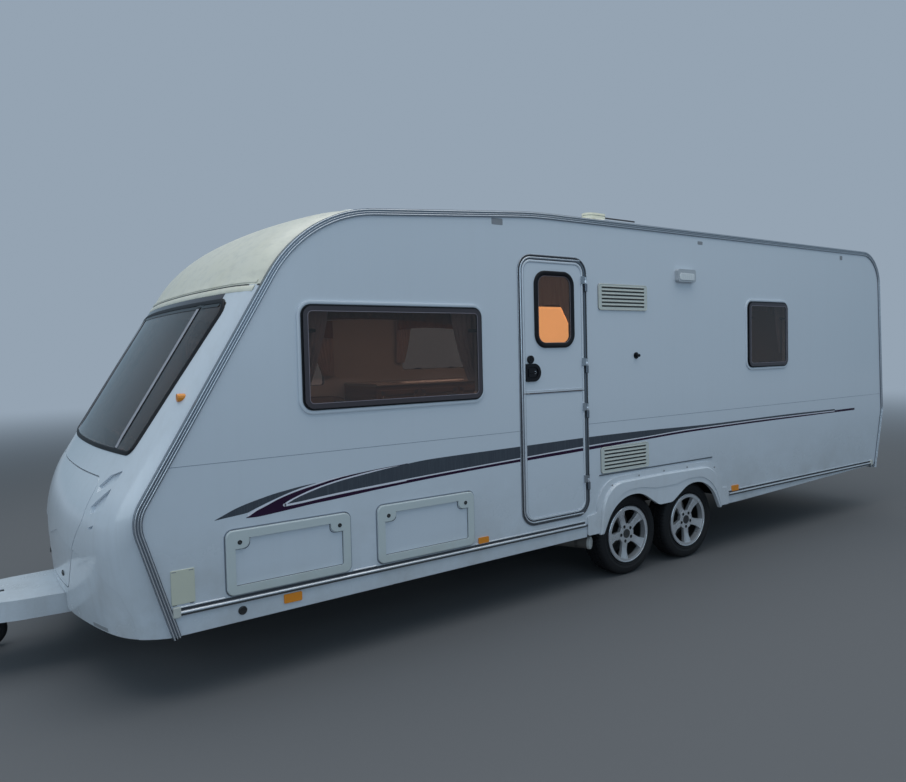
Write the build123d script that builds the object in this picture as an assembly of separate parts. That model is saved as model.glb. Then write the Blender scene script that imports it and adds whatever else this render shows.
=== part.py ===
from build123d import *
from math import cos, radians, sin, tan
import os

# Twin-axle travel caravan, parked level on its road wheels and jockey wheel.
# Millimetres. X forward from the midpoint between the axles, Y to the door side, Z up from the
# ground. Every piece is moved by ORIGIN_X on writing, so that the origin is the middle of the
# whole length.

# Body size
HALF_WIDTH = 1150.0
WALL = 28.0
SHELL = 28.0
INNER_Y = HALF_WIDTH - WALL
WALL_CUT = (HALF_WIDTH - 2 * WALL, HALF_WIDTH + 2 * WALL)
PROUD = 8.0
GAP = 5.0

# Levels
WALL_FOOT = 455.0
FLOOR_LOW = 455.0
FLOOR_THICK = 45.0
FLOOR_TOP = FLOOR_LOW + FLOOR_THICK
SILL_LOW, SILL_HIGH = 441.0, 455.0
SKIRT_THICK = 20.0
SKIRT_SET = 2.0

# Corners of the body's outline, front foot to rear foot:
# x and z at the side wall, x and z on the centre line, corner radius at wall and centre line
OUTLINE = [
    (3524, 330, 3895, 330, 0, 0),
    (3695, 919, 3932, 850, 200, 700),
    (2806, 2433, 2938, 2470, 768, 768),
    (1251, 2557, 1251, 2590, 4000, 4000),
    (-3342, 2570, -3412, 2603, 320, 320),
    (-3417, 991, -3490, 991, 150, 150),
    (-3270, 400, -3345, 400, 0, 0),
]
# The skins bulge from the walls to the centre line along a quarter ellipse: y, share of the bulge
STATION_ANGLES = [90.0, 67.5, 45.0, 22.5, 0.0]
STATIONS = [(INNER_Y * sin(radians(a)), cos(radians(a))) for a in STATION_ANGLES]

# Seams of the outer mouldings
CAP_Z = 2035.0
CAP_X = 2350.0
REAR_SEAM_X = -3000.0

# Running gear
AXLE_HALF = 342.5
TYRE_R = 300.0
TYRE_WIDTH = 185.0
TYRE_FACE_Y = HALF_WIDTH - 45.0
WHEEL_Y = TYRE_FACE_Y - TYRE_WIDTH / 2
BEAD_R = 190.0
FLANGE_R = 207.0
RIM_HALF = 88.0
FLANGE_THICK = 6.0
BARREL_R = 180.0
HUB_BORE_R = 33.0
HUB_R = 74.0
BOLT_PCD = 112.0
BOLT_HOLE_R = 8.0
BOLT_SEAT_R = 12.0
SPOKES = 5
DRUM_R = 120.0
AXLE_FLAT = 90.0
ARM_REACH = 160.0
ARM_THICK = 22.0

# Wheel arches: half outlines (x from the spat's middle, z, corner radius), foot first
SPAT_X = 10.0
SPAT_BAND = 12.0
SPAT_OUT = 34.0
SPAT_BAND_HALF = [(800, 376, 12), (800, 512, 15), (712, 520, 18), (690, 744, 212), (0, 772, 0)]
SPAT_BODY_HALF = [(690, 366, 0), (645, 716, 212), (0, 724, 0)]
SPAT_LIP_HALF = [(664, 300, 0), (664, 366, 0), (536, 612, 300), (268, 612, 260), (75, 495, 80),
                 (0, 495, 0)]
LIP_BAND_HALF = [(676, 300, 0), (676, 372, 0), (556, 652, 300), (262, 652, 260), (120, 628, 80),
                 (0, 628, 0)]
ARCH_HALF, ARCH_TOP, ARCH_CORNER = 680.0, 680.0, 230.0
BOX_HALF = 700.0
BOX_TOP = 705.0
BOX_IN_Y = TYRE_FACE_Y - 228.0
BOX_THICK = 5.0

# Chassis
RAIL_Y = 560.0
RAIL_WIDTH = 50.0
RAIL_DEEP = 70.0
STEEL = 5.0
RAIL_REAR, RAIL_FRONT = -3150.0, 2300.0
ARM_BOX_W, ARM_LOW, ARM_HIGH = 48.0, 315.0, 390.0
COUPLING_X = 4700.0
ARM_END_X = 4480.0
SOCKET_R = 25.5
SOCKET_DEEP = 26.0
CROSS_X = [RAIL_FRONT - 150, 1250.0, -1250.0, RAIL_REAR + 850, RAIL_REAR + 100]

# Jockey wheel
JOCKEY_X, JOCKEY_Y = 4290.0, -330.0
JOCKEY_R = 105.0
JOCKEY_WIDTH = 60.0
JOCKEY_TRAIL = 55.0
JOCKEY_TUBE_R = 24.0
JOCKEY_LEG_R = 19.0
JOCKEY_TUBE_LOW, JOCKEY_TUBE_HIGH = 355.0, 600.0
FORK_TOP = 250.0

# Corner steadies: hinge x, direction of the foot, side
STEADY_Y = HALF_WIDTH - 300.0
STEADY_LENGTH = 470.0
STEADY_Z = 405.0
STEADIES = {
    "steady_front_left": (RAIL_FRONT + 40, 1, 1),
    "steady_front_right": (RAIL_FRONT + 40, 1, -1),
    "steady_rear_left": (RAIL_REAR + 710, -1, 1),
    "steady_rear_right": (RAIL_REAR + 710, -1, -1),
}

# Door: the frame's flange lies on the wall, its jamb lines the hole
DOOR_X = (783.0, 1391.0)
DOOR_Z = (520.0, 2292.0)
DOOR_R = 110.0
DOOR_SPLIT = 1388.0
DOOR_FLANGE = 12.0
DOOR_FRAME = 30.0
DOOR_FRAME_OUT = 4.0
DOOR_THICK = 30.0
LEAF_RIM = 18.0
LEAF_RIM_OUT = 3.0
DOOR_HINGE_OUT = 14.0
DOOR_HINGE_IN = 18.0
HINGE_R = 7.0
HINGE_LEVELS = [2115.0, DOOR_SPLIT + 169, DOOR_SPLIT - 140, 750.0]
KNUCKLE = 52.0
HANDLE_X, HANDLE_Z = (1214.0, 1337.0), (DOOR_SPLIT + 78, DOOR_SPLIT + 195)
LOCK_X, LOCK_Z, LOCK_R = 1297.0, DOOR_SPLIT + 222, 26.0
DOOR_PANE_GAP = 47.0
DOOR_PANE_X = (905.0, 1255.0)
DOOR_PANE_Z = (LOCK_Z + LOCK_R + DOOR_PANE_GAP, 2190.0)
DOOR_PANE_R = 92.0
DOOR_SEAL = 34.0

# Windows on the walls: x range, z range, corner radius of the seal's outer edge
PANE_THICK = 12.0
SEAL_THICK = 8.0
SEAL_LIP = 14.0
SEAL_SHOWN = 8.0
SEAL_WIDTH = 34.0
SURROUND = 21.0
SURROUND_OUT = 8.0
LEFT_PANES = [((1689, 2853), (1376, 1937), 60), ((-1668, -1074), (1486, 2042), 60)]
RIGHT_PANES = [
    ((1689, 2853), (1376, 1937), 60),
    ((180, 980), (1486, 1980), 60),
    ((-1668, -1074), (1486, 2042), 60),
]
# Panes of the front window: y and z corners, outer edge first
FRONT_PANE_Z = (1207.0, 1955.0)
FRONT_PANE_Y_TOP = HALF_WIDTH - 165.0
FRONT_PANE_Y_LOW = HALF_WIDTH - 245.0
FRONT_BAR = 30.0
FRONT_BAR_Y = 680.0
REAR_PANE_Y, REAR_PANE_Z = 430.0, (1530.0, 1980.0)

# Fridge vents in the left wall: x range, z range; each has the same slots, a row above another
VENTS = [((172, 672), (1941, 2127)), ((174, 669), (790, 978))]
VENT_THICK = 9.0
VENT_SLOTS = 6
VENT_EDGE = 30.0
LAMP_X, LAMP_Z, LAMP_OUT = (-366.0, -155.0), (2168.0, 2265.0), 34.0
CATCH_X, CATCH_Z = 291.0, 1616.0

# Side locker doors: x range, z range
LOCKERS = {
    "side_locker_door_front": ((2599.0, 3281.0), (477.0, 813.0)),
    "side_locker_door_middle": ((1770.0, 2442.0), (480.0, 820.0)),
}
LOCKER_PROUD = 14.0
LOCKER_RIM = 50.0
LOCKER_R = 42.0
LOCKER_EAR_R = 42.0
LOCKER_PANEL_OUT = 2.0

# Front locker lid: half widths and levels of its corners
LID_TOP_Z, LID_WAIST_Z, LID_LOW_Z = 1075.0, 870.0, 465.0
LID_TOP_Y, LID_WAIST_Y, LID_LOW_Y = 735.0, 700.0, 380.0
LID_GAP = 6.0
# The nose steps in below a line that rises from the centre of the lid: y, z
NOSE_STEP = 6.0
NOSE_LINE = [(0, 697), (240, 756), (369, 734), (724, 693), (888, 646), (1010, 560), (1040, 440)]
# Hollows beside the lid: y and z corners
HOLLOW_DEEP = 16.0
HOLLOWS = [
    [(752, 1040), (819, 1097), (925, 1131), (917, 1076), (856, 1056), (772, 1012)],
    [(776, 948), (915, 1050), (925, 953), (790, 916)],
    [(762, 838), (868, 873), (866, 856)],
]

# Roof lights: centre x, half size, level of the top of the frame
ROOF_LIGHTS = {
    "roof_light_front": (1850.0, 350.0, 2578.0),
    "roof_light_rear": (-1500.0, 250.0, 2624.0),
}
LIGHT_FRAME = 30.0
AERIAL_X, AERIAL_Y = -70.0, 380.0

PARTS = {}


def V(x, y, z):
    return Vector(x, y, z)


def corner_arc(before, corner, after, radius):
    """Start, middle and end of the arc that rounds a corner."""
    back = (before - corner).normalized()
    on = (after - corner).normalized()
    half = radians(back.get_angle(on) / 2)
    centre = corner + (back + on).normalized() * (radius / sin(half))
    reach = radius / tan(half)
    middle = centre + (corner - centre).normalized() * radius
    return corner + back * reach, middle, corner + on * reach


def path_edges(points, radii, closed=False):
    """Straight edges through the points, with an arc at each corner that has a radius."""
    count = len(points)
    stops = []
    for i, point in enumerate(points):
        inside = closed or 0 < i < count - 1
        if inside and radii[i] > 0:
            stops.append(corner_arc(points[i - 1], point, points[(i + 1) % count], radii[i]))
        else:
            stops.append((point, None, point))
    edges = []
    for i, (start, middle, end) in enumerate(stops):
        if middle is not None:
            edges.append(Edge.make_three_point_arc(start, middle, end))
        if i + 1 < count or closed:
            following = stops[(i + 1) % count][0]
            if (following - end).length > 1e-6:
                edges.append(Edge.make_line(end, following))
    return edges


def prism(points, direction, radius=0.0):
    """Solid of a closed outline of 3D points, rounded at its corners and pushed along a vector."""
    radii = radius if isinstance(radius, list) else [radius] * len(points)
    return Solid.extrude(Face(Wire(path_edges(points, radii, closed=True))), direction)


def prism_y(points, y0, y1, radius=0.0):
    return prism([V(x, y0, z) for x, z in points], V(0, y1 - y0, 0), radius)


def prism_x(points, x0, x1, radius=0.0):
    return prism([V(x0, y, z) for y, z in points], V(x1 - x0, 0, 0), radius)


def prism_z(points, z0, z1, radius=0.0):
    return prism([V(x, y, z0) for x, y in points], V(0, 0, z1 - z0), radius)


def corners(a, b):
    """Four corners of the rectangle over two ranges."""
    return [(a[0], b[0]), (a[1], b[0]), (a[1], b[1]), (a[0], b[1])]


def block(x, y, z):
    return prism_z(corners(x, y), z[0], z[1])


def grown(span, by):
    return (span[0] - by, span[1] + by)


def rod(start, end, radius):
    """Round bar between two points."""
    return Solid.make_cylinder(radius, (end - start).length, Plane(start, z_dir=end - start))


def join(pieces):
    return Part() + list(pieces)


def both_sides(piece):
    return [piece, piece.mirror(Plane.XZ)]


def keep(name, piece):
    PARTS[name] = piece


def section(y, share, inward):
    """Edges of the body's outline at one station, moved inwards, front foot to rear foot."""
    points, radii = [], []
    for wall_x, wall_z, mid_x, mid_z, wall_r, mid_r in OUTLINE:
        points.append(V(wall_x + (mid_x - wall_x) * share, y, wall_z + (mid_z - wall_z) * share))
        radii.append(wall_r + (mid_r - wall_r) * share)
    runs = [(b - a).normalized() for a, b in zip(points, points[1:])]
    normals = [V(-run.Z, 0, run.X) for run in runs]
    moved = []
    for i, point in enumerate(points):
        if 0 < i < len(points) - 1:
            one, two = normals[i - 1], normals[i]
            moved.append(point + (one + two) * (inward / (1 + one.dot(two))))
        else:
            run, normal = (runs[0], normals[0]) if i == 0 else (runs[-1], normals[-1])
            slid = point + normal * inward
            moved.append(slid + run * ((point.Z - slid.Z) / run.Z))
    return moved, [max(r - inward, 0) for r in radii]


def section_band(y, share, outer, inner):
    """Closed wire of the strip between two depths of the body's skin at one station."""
    out_points, out_radii = section(y, share, outer)
    in_points, in_radii = section(y, share, inner)
    edges = path_edges(out_points, out_radii)
    edges.append(Edge.make_line(out_points[-1], in_points[-1]))
    edges += path_edges(in_points[::-1], in_radii[::-1])
    edges.append(Edge.make_line(in_points[0], out_points[0]))
    return Wire(edges)


def skin(outer, inner):
    """The whole bulged skin between the side walls, between two depths."""
    stations = STATIONS + [(-y, share) for y, share in STATIONS[-2::-1]]
    return Solid.make_loft([section_band(y, share, outer, inner) for y, share in stations])


def wall_outline(y, depth, thick):
    """Slab of the side wall's outline, closed along the skirt's lower edge."""
    points, radii = section(y, 0.0, depth)
    edges = path_edges(points, radii)
    low = [V(-3270, y, 436), V(-960, y, 375), V(900, y, 365), V(3527, y, 341)]
    chain = [points[-1]] + low + [points[0]]
    edges += [Edge.make_line(a, b) for a, b in zip(chain, chain[1:]) if (b - a).length > 1e-6]
    return Solid.extrude(Face(Wire(edges)), V(0, thick, 0))


# Body skins: one bulged shell, cut at the real seams
WHOLE = skin(0, SHELL)
FAR = 6000.0
above_cap = block((CAP_X, FAR), (-FAR, FAR), (CAP_Z, FAR))
rear_end = block((-FAR, REAR_SEAM_X), (-FAR, FAR), (0, FAR))
front_end = block((CAP_X, FAR), (-FAR, FAR), (0, CAP_Z))
roof_zone = block((REAR_SEAM_X, CAP_X), (-FAR, FAR), (2200, FAR))


def front_pane_corners():
    """Corners (y, z) of the three panes of the front window, centre pane first."""
    low, high = FRONT_PANE_Z
    half = FRONT_BAR / 2
    centre = [(-FRONT_BAR_Y + half, low), (FRONT_BAR_Y - half, low)]
    centre += [(FRONT_BAR_Y - half, high), (-FRONT_BAR_Y + half, high)]
    side = [(FRONT_BAR_Y + half, low), (FRONT_PANE_Y_LOW, low)]
    side += [(FRONT_PANE_Y_TOP, high), (FRONT_BAR_Y + half, high)]
    return [centre, side, [(-y, z) for y, z in side[::-1]]]


PANE_TOOLS = [prism_x(points, 2700, FAR, 22.0) for points in front_pane_corners()]


def lid_outline(gap):
    """Outline (y, z) of the front locker lid, widened by a gap."""
    right = [(LID_LOW_Y + gap, LID_LOW_Z - gap), (LID_WAIST_Y + gap, LID_WAIST_Z)]
    right += [(LID_TOP_Y + gap, LID_TOP_Z + gap)]
    return right + [(-y, z) for y, z in right[::-1]]


lid_tool = prism_x(lid_outline(0), 3600, FAR, [40, 60, 60, 60, 60, 40])
lid_hole = prism_x(lid_outline(LID_GAP), 3600, FAR, [46, 66, 66, 66, 66, 46])
COVER_HALF = 300.0
COVER_TOP = 412.0
cover_notch = block((3500, FAR), (-COVER_HALF, COVER_HALF), (0, COVER_TOP))

nose_half = NOSE_LINE + [(NOSE_LINE[-1][0], 0), (0, 0)]
nose_zone = prism_x(nose_half, 3000, FAR)
nose_step = skin(-1, NOSE_STEP) & join([nose_zone, nose_zone.mirror(Plane.XZ)])
hollow_tools = [prism_x(points, 3000, FAR, 4.0) for points in HOLLOWS]
hollow_tools += [tool.mirror(Plane.XZ) for tool in hollow_tools]
hollow_skin = skin(-1, HOLLOW_DEEP)
front_moulding = (WHOLE & front_end) - nose_step
front_panel = front_moulding - PANE_TOOLS - lid_hole - cover_notch
front_panel -= [hollow_skin & tool for tool in hollow_tools]
keep("front_panel", front_panel)
keep("front_locker_lid", front_moulding & lid_tool)
keep("front_roof_cap", WHOLE & above_cap)
light_holes = [
    block((x - half, x + half), (-half, half), (2200, FAR)) for x, half, _ in ROOF_LIGHTS.values()
]
keep("roof", (WHOLE & roof_zone) - light_holes)
rear_hole = prism_x(corners((-REAR_PANE_Y, REAR_PANE_Y), REAR_PANE_Z), -FAR, -3300, 50.0)
keep("rear_panel", (WHOLE & rear_end) - rear_hole)

# Front and rear windows: acrylic let into the mouldings, a little proud of them
glazing = skin(-PROUD / 2, PROUD / 2)
keep("front_window", join([glazing & tool for tool in PANE_TOOLS]))
rear_pane = glazing & rear_hole

# Side walls
def mirrored_outline(half):
    """Points (x, z) and radii of an outline given by its front half, mirrored about SPAT_X."""
    centre = half[-1]
    front = half[:-1]
    points = [(SPAT_X + x, z) for x, z, _ in front] + [(SPAT_X, centre[1])]
    points += [(SPAT_X - x, z) for x, z, _ in front[::-1]]
    radii = [r for _, _, r in front]
    return points, radii + [centre[2]] + radii[::-1]


def spat_prism(half, y0, y1):
    points, radii = mirrored_outline(half)
    return prism_y(points, y0, y1, radii)


arch_half = [(ARCH_HALF, 0, 0), (ARCH_HALF, ARCH_TOP, ARCH_CORNER), (0, ARCH_TOP, 0)]
wall_arch = spat_prism(arch_half, *WALL_CUT)
above_foot = block((-FAR, FAR), (0, FAR), (WALL_FOOT, FAR))
plain_wall = (wall_outline(INNER_Y, 0, WALL) & above_foot) - wall_arch


def window_cut(x, z, radius):
    """Hole in a wall behind a window."""
    return prism_y(corners(grown(x, -SEAL_WIDTH), grown(z, -SEAL_WIDTH)), *WALL_CUT,
                   radius - SEAL_WIDTH)


def surround(x, z, radius):
    """Raised moulding of the wall round a window's seal."""
    ring = prism_y(corners(grown(x, SURROUND), grown(z, SURROUND)), HALF_WIDTH,
                   HALF_WIDTH + SURROUND_OUT, radius + SURROUND)
    return ring - prism_y(corners(grown(x, 1), grown(z, 1)), *WALL_CUT, radius + 1)


def windowed(wall, panes):
    """A side wall with its windows cut and their surrounds on it."""
    return join([wall - [window_cut(*pane) for pane in panes]] + [surround(*p) for p in panes])


door_hole = prism_y(corners(grown(DOOR_X, -DOOR_FLANGE), grown(DOOR_Z, -DOOR_FLANGE)), *WALL_CUT,
                    DOOR_R - DOOR_FLANGE)
locker_holes = [prism_y(corners(x, z), *WALL_CUT, LOCKER_R) for x, z in LOCKERS.values()]
keep("wall_left", windowed(plain_wall - door_hole - locker_holes, LEFT_PANES))
keep("wall_right", windowed(plain_wall, RIGHT_PANES).mirror(Plane.XZ))


def seal_ring(x, z, radius):
    """Rubber seal: a lip round the pane's edge and a flange behind it."""
    ring = prism_y(corners(x, z), HALF_WIDTH, HALF_WIDTH + SEAL_LIP, radius)
    seat = prism_y(corners(grown(x, -SEAL_SHOWN), grown(z, -SEAL_SHOWN)), HALF_WIDTH + SEAL_THICK,
                   WALL_CUT[1], radius - SEAL_SHOWN)
    return ring - seat - window_cut(x, z, radius)


def wall_pane(x, z, radius):
    low = HALF_WIDTH + SEAL_THICK
    inset = SEAL_SHOWN + 0.5
    return prism_y(corners(grown(x, -inset), grown(z, -inset)), low, low + PANE_THICK,
                   radius - inset)


left = [seal_ring(*pane) for pane in LEFT_PANES]
right = [seal_ring(*pane).mirror(Plane.XZ) for pane in RIGHT_PANES]
keep("window_seals", join(left + right))
left = [wall_pane(*pane) for pane in LEFT_PANES]
right = [wall_pane(*pane).mirror(Plane.XZ) for pane in RIGHT_PANES]
keep("cabin_windows", join(left + right + [rear_pane]))

# Aluminium rails over the edges of the side walls, with a groove along them for an insert
RAIL_FACE = 30.0
GROOVE = (4.0, 18.0)
GROOVE_DEEP = 4.0
RAIL_FOOT = 331.0
outside = wall_outline(INNER_Y, -PROUD, WALL + PROUD)
core = wall_outline(INNER_Y - 10, 0, WALL + 10)
within_rail = wall_outline(HALF_WIDTH - 10, RAIL_FACE, 40)
groove_y = HALF_WIDTH + PROUD - GROOVE_DEEP
groove = wall_outline(groove_y, GROOVE[0], 10) - wall_outline(groove_y - 1, GROOVE[1], 12)
above_skirt = block((-FAR, FAR), (0, FAR), (RAIL_FOOT, FAR))
corner_rail = (outside - core - within_rail - groove) & above_skirt

# Sill trims between the rails and the spats
sill_span = block((-3190, 3480), (HALF_WIDTH, HALF_WIDTH + PROUD), (SILL_LOW, SILL_HIGH))
spat_half = SPAT_BAND_HALF[0][0]
sill_gap = block((SPAT_X - spat_half, SPAT_X + spat_half), WALL_CUT, (0, ARCH_TOP))
keep("corner_rails", join(both_sides(corner_rail - sill_span)))
draught_rail = block((-585, 685), (HALF_WIDTH, HALF_WIDTH + 6), (777, 785))
keep("sill_trims", join(both_sides((sill_span - sill_gap) & within_rail) + [draught_rail]))

# Skirts below the sill trims
skirt_out = HALF_WIDTH - SKIRT_SET
skirt = wall_outline(skirt_out - SKIRT_THICK, 0, SKIRT_THICK)
skirt = (skirt & block((-FAR, FAR), (0, FAR), (0, WALL_FOOT))) - sill_gap
keep("skirts", join(both_sides(skirt)))

# Wheel-arch spats: a screwed band, a raised body within it and a sunk lip round both wheels
spat_band = spat_prism(SPAT_BAND_HALF, HALF_WIDTH, HALF_WIDTH + SPAT_BAND)
spat_body = spat_prism(SPAT_BODY_HALF, HALF_WIDTH, HALF_WIDTH + SPAT_OUT)
spat_body = chamfer(spat_body.faces().sort_by(Axis.Y)[-1].edges(), 10)
lip_band = spat_prism(LIP_BAND_HALF, HALF_WIDTH + SPAT_OUT - 5, WALL_CUT[1])
spat = join([spat_band, spat_body]) - lip_band - spat_prism(SPAT_LIP_HALF, *WALL_CUT)
keep("wheel_spats", join(both_sides(spat)))

# Wheel boxes over the tyres, closed at the sides and top
box_outer = block((-BOX_HALF, BOX_HALF), (BOX_IN_Y, INNER_Y), (FLOOR_LOW, BOX_TOP))
box_inner = block(
    (-BOX_HALF + BOX_THICK, BOX_HALF - BOX_THICK),
    (BOX_IN_Y + BOX_THICK, INNER_Y),
    (FLOOR_LOW, BOX_TOP - BOX_THICK),
)
keep("wheel_boxes", join(both_sides(box_outer - box_inner)))

# Floor between the walls, notched for the wheel boxes
floor = block((RAIL_REAR - 100, FAR), (-INNER_Y, INNER_Y), (FLOOR_LOW, FLOOR_TOP))
inside_edges = []
for y, share in STATIONS + [(-y, share) for y, share in STATIONS[-2::-1]]:
    edges = path_edges(*section(y, share, SHELL + 1))
    inside_edges.append(Wire(edges + [Edge.make_line(edges[-1] @ 1, edges[0] @ 0)]))
inside = Solid.make_loft(inside_edges)
boxes = [block((-BOX_HALF, BOX_HALF), side, (0, BOX_TOP))
         for side in ((BOX_IN_Y, INNER_Y), (-INNER_Y, -BOX_IN_Y))]
keep("floor", (floor & inside) - boxes)

# Door frame, two door leaves on one hinge line, and the door's window
def door_prism(inset, y0, y1):
    """Slab of the door's outline, drawn in from the frame's outer edge."""
    return prism_y(corners(grown(DOOR_X, -inset), grown(DOOR_Z, -inset)), y0, y1, DOOR_R - inset)


flange = door_prism(0, HALF_WIDTH, HALF_WIDTH + DOOR_FRAME_OUT)
jamb = door_prism(DOOR_FLANGE, INNER_Y, HALF_WIDTH)
frame = join([flange, jamb]) - door_prism(DOOR_FRAME, *WALL_CUT)
leaf_inset = DOOR_FRAME + GAP
leaf_edge = DOOR_X[0] + leaf_inset
hinge_y = HALF_WIDTH + DOOR_HINGE_OUT
hinge_x = DOOR_X[0] + DOOR_HINGE_IN


def knuckle(z0, z1):
    return rod(V(hinge_x, hinge_y, z0), V(hinge_x, hinge_y, z1), HINGE_R)


def frame_hinge(z):
    """Fixed half of a door hinge: lower knuckle and its plate on the frame."""
    plate = block((DOOR_X[0] + 2, hinge_x), (HALF_WIDTH + DOOR_FRAME_OUT, hinge_y), (z - KNUCKLE, z))
    return join([knuckle(z - KNUCKLE, z), plate])


def leaf_hinge(z):
    """Moving half: upper knuckle, a strap over the frame and its foot on the leaf."""
    span = (z + 1, z + KNUCKLE)
    strap = block((hinge_x, leaf_edge + 22), (hinge_y - 5, hinge_y), span)
    foot = block((leaf_edge + 2, leaf_edge + 22), (HALF_WIDTH, hinge_y), span)
    return join([knuckle(*span), strap, foot])


keep("door_frame", join([frame] + [frame_hinge(z) for z in HINGE_LEVELS]))
leaf_back = HALF_WIDTH - DOOR_THICK + 4
leaf_slab = door_prism(leaf_inset, leaf_back, HALF_WIDTH)
leaf_rim = door_prism(leaf_inset, HALF_WIDTH, HALF_WIDTH + LEAF_RIM_OUT)
leaf_rim -= door_prism(leaf_inset + LEAF_RIM, *WALL_CUT)
above_split = block((0, FAR), (0, FAR), (DOOR_SPLIT + GAP / 2, FAR))
below_split = block((0, FAR), (0, FAR), (0, DOOR_SPLIT - GAP / 2))
split_bar = block((leaf_edge, DOOR_X[1] - leaf_inset), (HALF_WIDTH, HALF_WIDTH + LEAF_RIM_OUT),
                  (DOOR_SPLIT + GAP / 2, DOOR_SPLIT + LEAF_RIM))
leaf_hole = prism_y(corners(grown(DOOR_PANE_X, -SEAL_WIDTH), grown(DOOR_PANE_Z, -SEAL_WIDTH)),
                    *WALL_CUT, DOOR_PANE_R - SEAL_WIDTH)
leaf = join([leaf_slab, leaf_rim])
upper = join([leaf & above_split, split_bar]) - leaf_hole
keep("door_upper", join([upper] + [leaf_hinge(z) for z in HINGE_LEVELS[:2]]))
keep("door_lower", join([leaf & below_split] + [leaf_hinge(z) for z in HINGE_LEVELS[2:]]))

# The door's window: a pane in a thick rubber ring
door_ring = prism_y(corners(DOOR_PANE_X, DOOR_PANE_Z), HALF_WIDTH, HALF_WIDTH + SEAL_LIP,
                    DOOR_PANE_R)
door_ring = fillet(door_ring.faces().sort_by(Axis.Y)[-1].edges(), 6)
door_ring -= prism_y(corners(grown(DOOR_PANE_X, -DOOR_SEAL), grown(DOOR_PANE_Z, -DOOR_SEAL)),
                     HALF_WIDTH + 5, WALL_CUT[1], DOOR_PANE_R - DOOR_SEAL)
keep("door_window", door_ring)

# Handle plate with one round side, its paddle and the lock above it
plate_r = (HANDLE_Z[1] - HANDLE_Z[0]) / 2
HANDLE_OUT = 12.0
plate = prism_y(corners(HANDLE_X, HANDLE_Z), HALF_WIDTH, HALF_WIDTH + HANDLE_OUT,
                [plate_r - 1, 8, 8, plate_r - 1])
recess = prism_y(corners(grown(HANDLE_X, -22), grown(HANDLE_Z, -22)), HALF_WIDTH + 5, WALL_CUT[1],
                 [plate_r - 24, 6, 6, plate_r - 24])
paddle = prism_y(corners((HANDLE_X[0] + 44, HANDLE_X[1] - 14), grown(HANDLE_Z, -30)),
                 HALF_WIDTH + 5, HALF_WIDTH + HANDLE_OUT + 6, 8.0)
lock = rod(V(LOCK_X, HALF_WIDTH, LOCK_Z), V(LOCK_X, HALF_WIDTH + HANDLE_OUT, LOCK_Z), LOCK_R)
keep("door_handle", join([plate - recess, paddle, lock]))

# Side locker doors, hinged along their lower edges: a moulded rim with an ear for each lock
for name, (x, z) in LOCKERS.items():
    outline = corners(grown(x, -GAP), grown(z, -GAP))
    leaf = prism_y(outline, HALF_WIDTH - 26, HALF_WIDTH + LOCKER_PROUD, LOCKER_R - GAP)
    leaf = fillet(leaf.faces().sort_by(Axis.Y)[-1].edges(), 7)
    inner_x, inner_z = grown(x, -LOCKER_RIM), grown(z, -LOCKER_RIM)
    panel = prism_y(corners(inner_x, inner_z), HALF_WIDTH + LOCKER_PANEL_OUT, WALL_CUT[1], 10.0)
    ears = [rod(V(ear_x, INNER_Y, inner_z[1]), V(ear_x, WALL_CUT[1], inner_z[1]), LOCKER_EAR_R)
            for ear_x in inner_x]
    keep(name, leaf - (panel - ears))

# Fridge vents with their slots
vents = []
for x, z in VENTS:
    plate = prism_y(corners(x, z), HALF_WIDTH, HALF_WIDTH + VENT_THICK, 22.0)
    plate = fillet(plate.faces().sort_by(Axis.Y)[-1].edges(), 4)
    pitch = (z[1] - z[0] - VENT_EDGE) / VENT_SLOTS
    for i in range(VENT_SLOTS):
        low = z[0] + VENT_EDGE / 2 + i * pitch
        slot = corners(grown(x, -VENT_EDGE), (low + pitch * 0.28, low + pitch * 0.72))
        plate -= prism_y(slot, HALF_WIDTH + 2, WALL_CUT[1], 4.0)
    vents.append(plate)
keep("fridge_vents", join(vents))

# Awning lamp and the catch that holds the open door
lamp = prism_y(corners(LAMP_X, LAMP_Z), HALF_WIDTH, HALF_WIDTH + LAMP_OUT, 20.0)
keep("awning_lamp", lamp)
catch = [rod(V(CATCH_X, HALF_WIDTH, CATCH_Z), V(CATCH_X, HALF_WIDTH + 6, CATCH_Z), 24.0),
         rod(V(CATCH_X, HALF_WIDTH + 6, CATCH_Z), V(CATCH_X, HALF_WIDTH + 34, CATCH_Z), 11.0)]
keep("door_catch", join(catch))

# Marker lamps: reflectors on the skirts and walls, lamps beside the front window
reflectors = []
for x, z, face in (((2890, 2987), (384, 431), skirt_out), ((1664, 1742), (480, 517), HALF_WIDTH),
                   ((-934, -842), (470, 516), HALF_WIDTH)):
    reflectors += both_sides(prism_y(corners(x, z), face, face + 7, 6.0))
marker_y = INNER_Y - 73
front_marker = rod(V(3380, marker_y, 1475), V(3452, marker_y, 1475), 20.0) - WHOLE
front_marker = front_marker.solids().sort_by(Axis.X)[-1]
keep("marker_lamps", join(reflectors + both_sides(front_marker)))

# Rear lamps and bumper panel
lamp_block = block((-3500, -3300), (HALF_WIDTH - 270, HALF_WIDTH - 70), (470, 860))
rear_moulding = WHOLE & rear_end
proud_skin = (skin(-10, 4) & rear_end)
keep("rear_lamps", join(both_sides((proud_skin & lamp_block) - rear_moulding)))
bumper_half = HALF_WIDTH - 290
bumper_zone = block((-3600, -3200), (-bumper_half, bumper_half), (420, 620))
keep("rear_bumper", (proud_skin & bumper_zone) - rear_moulding)

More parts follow.
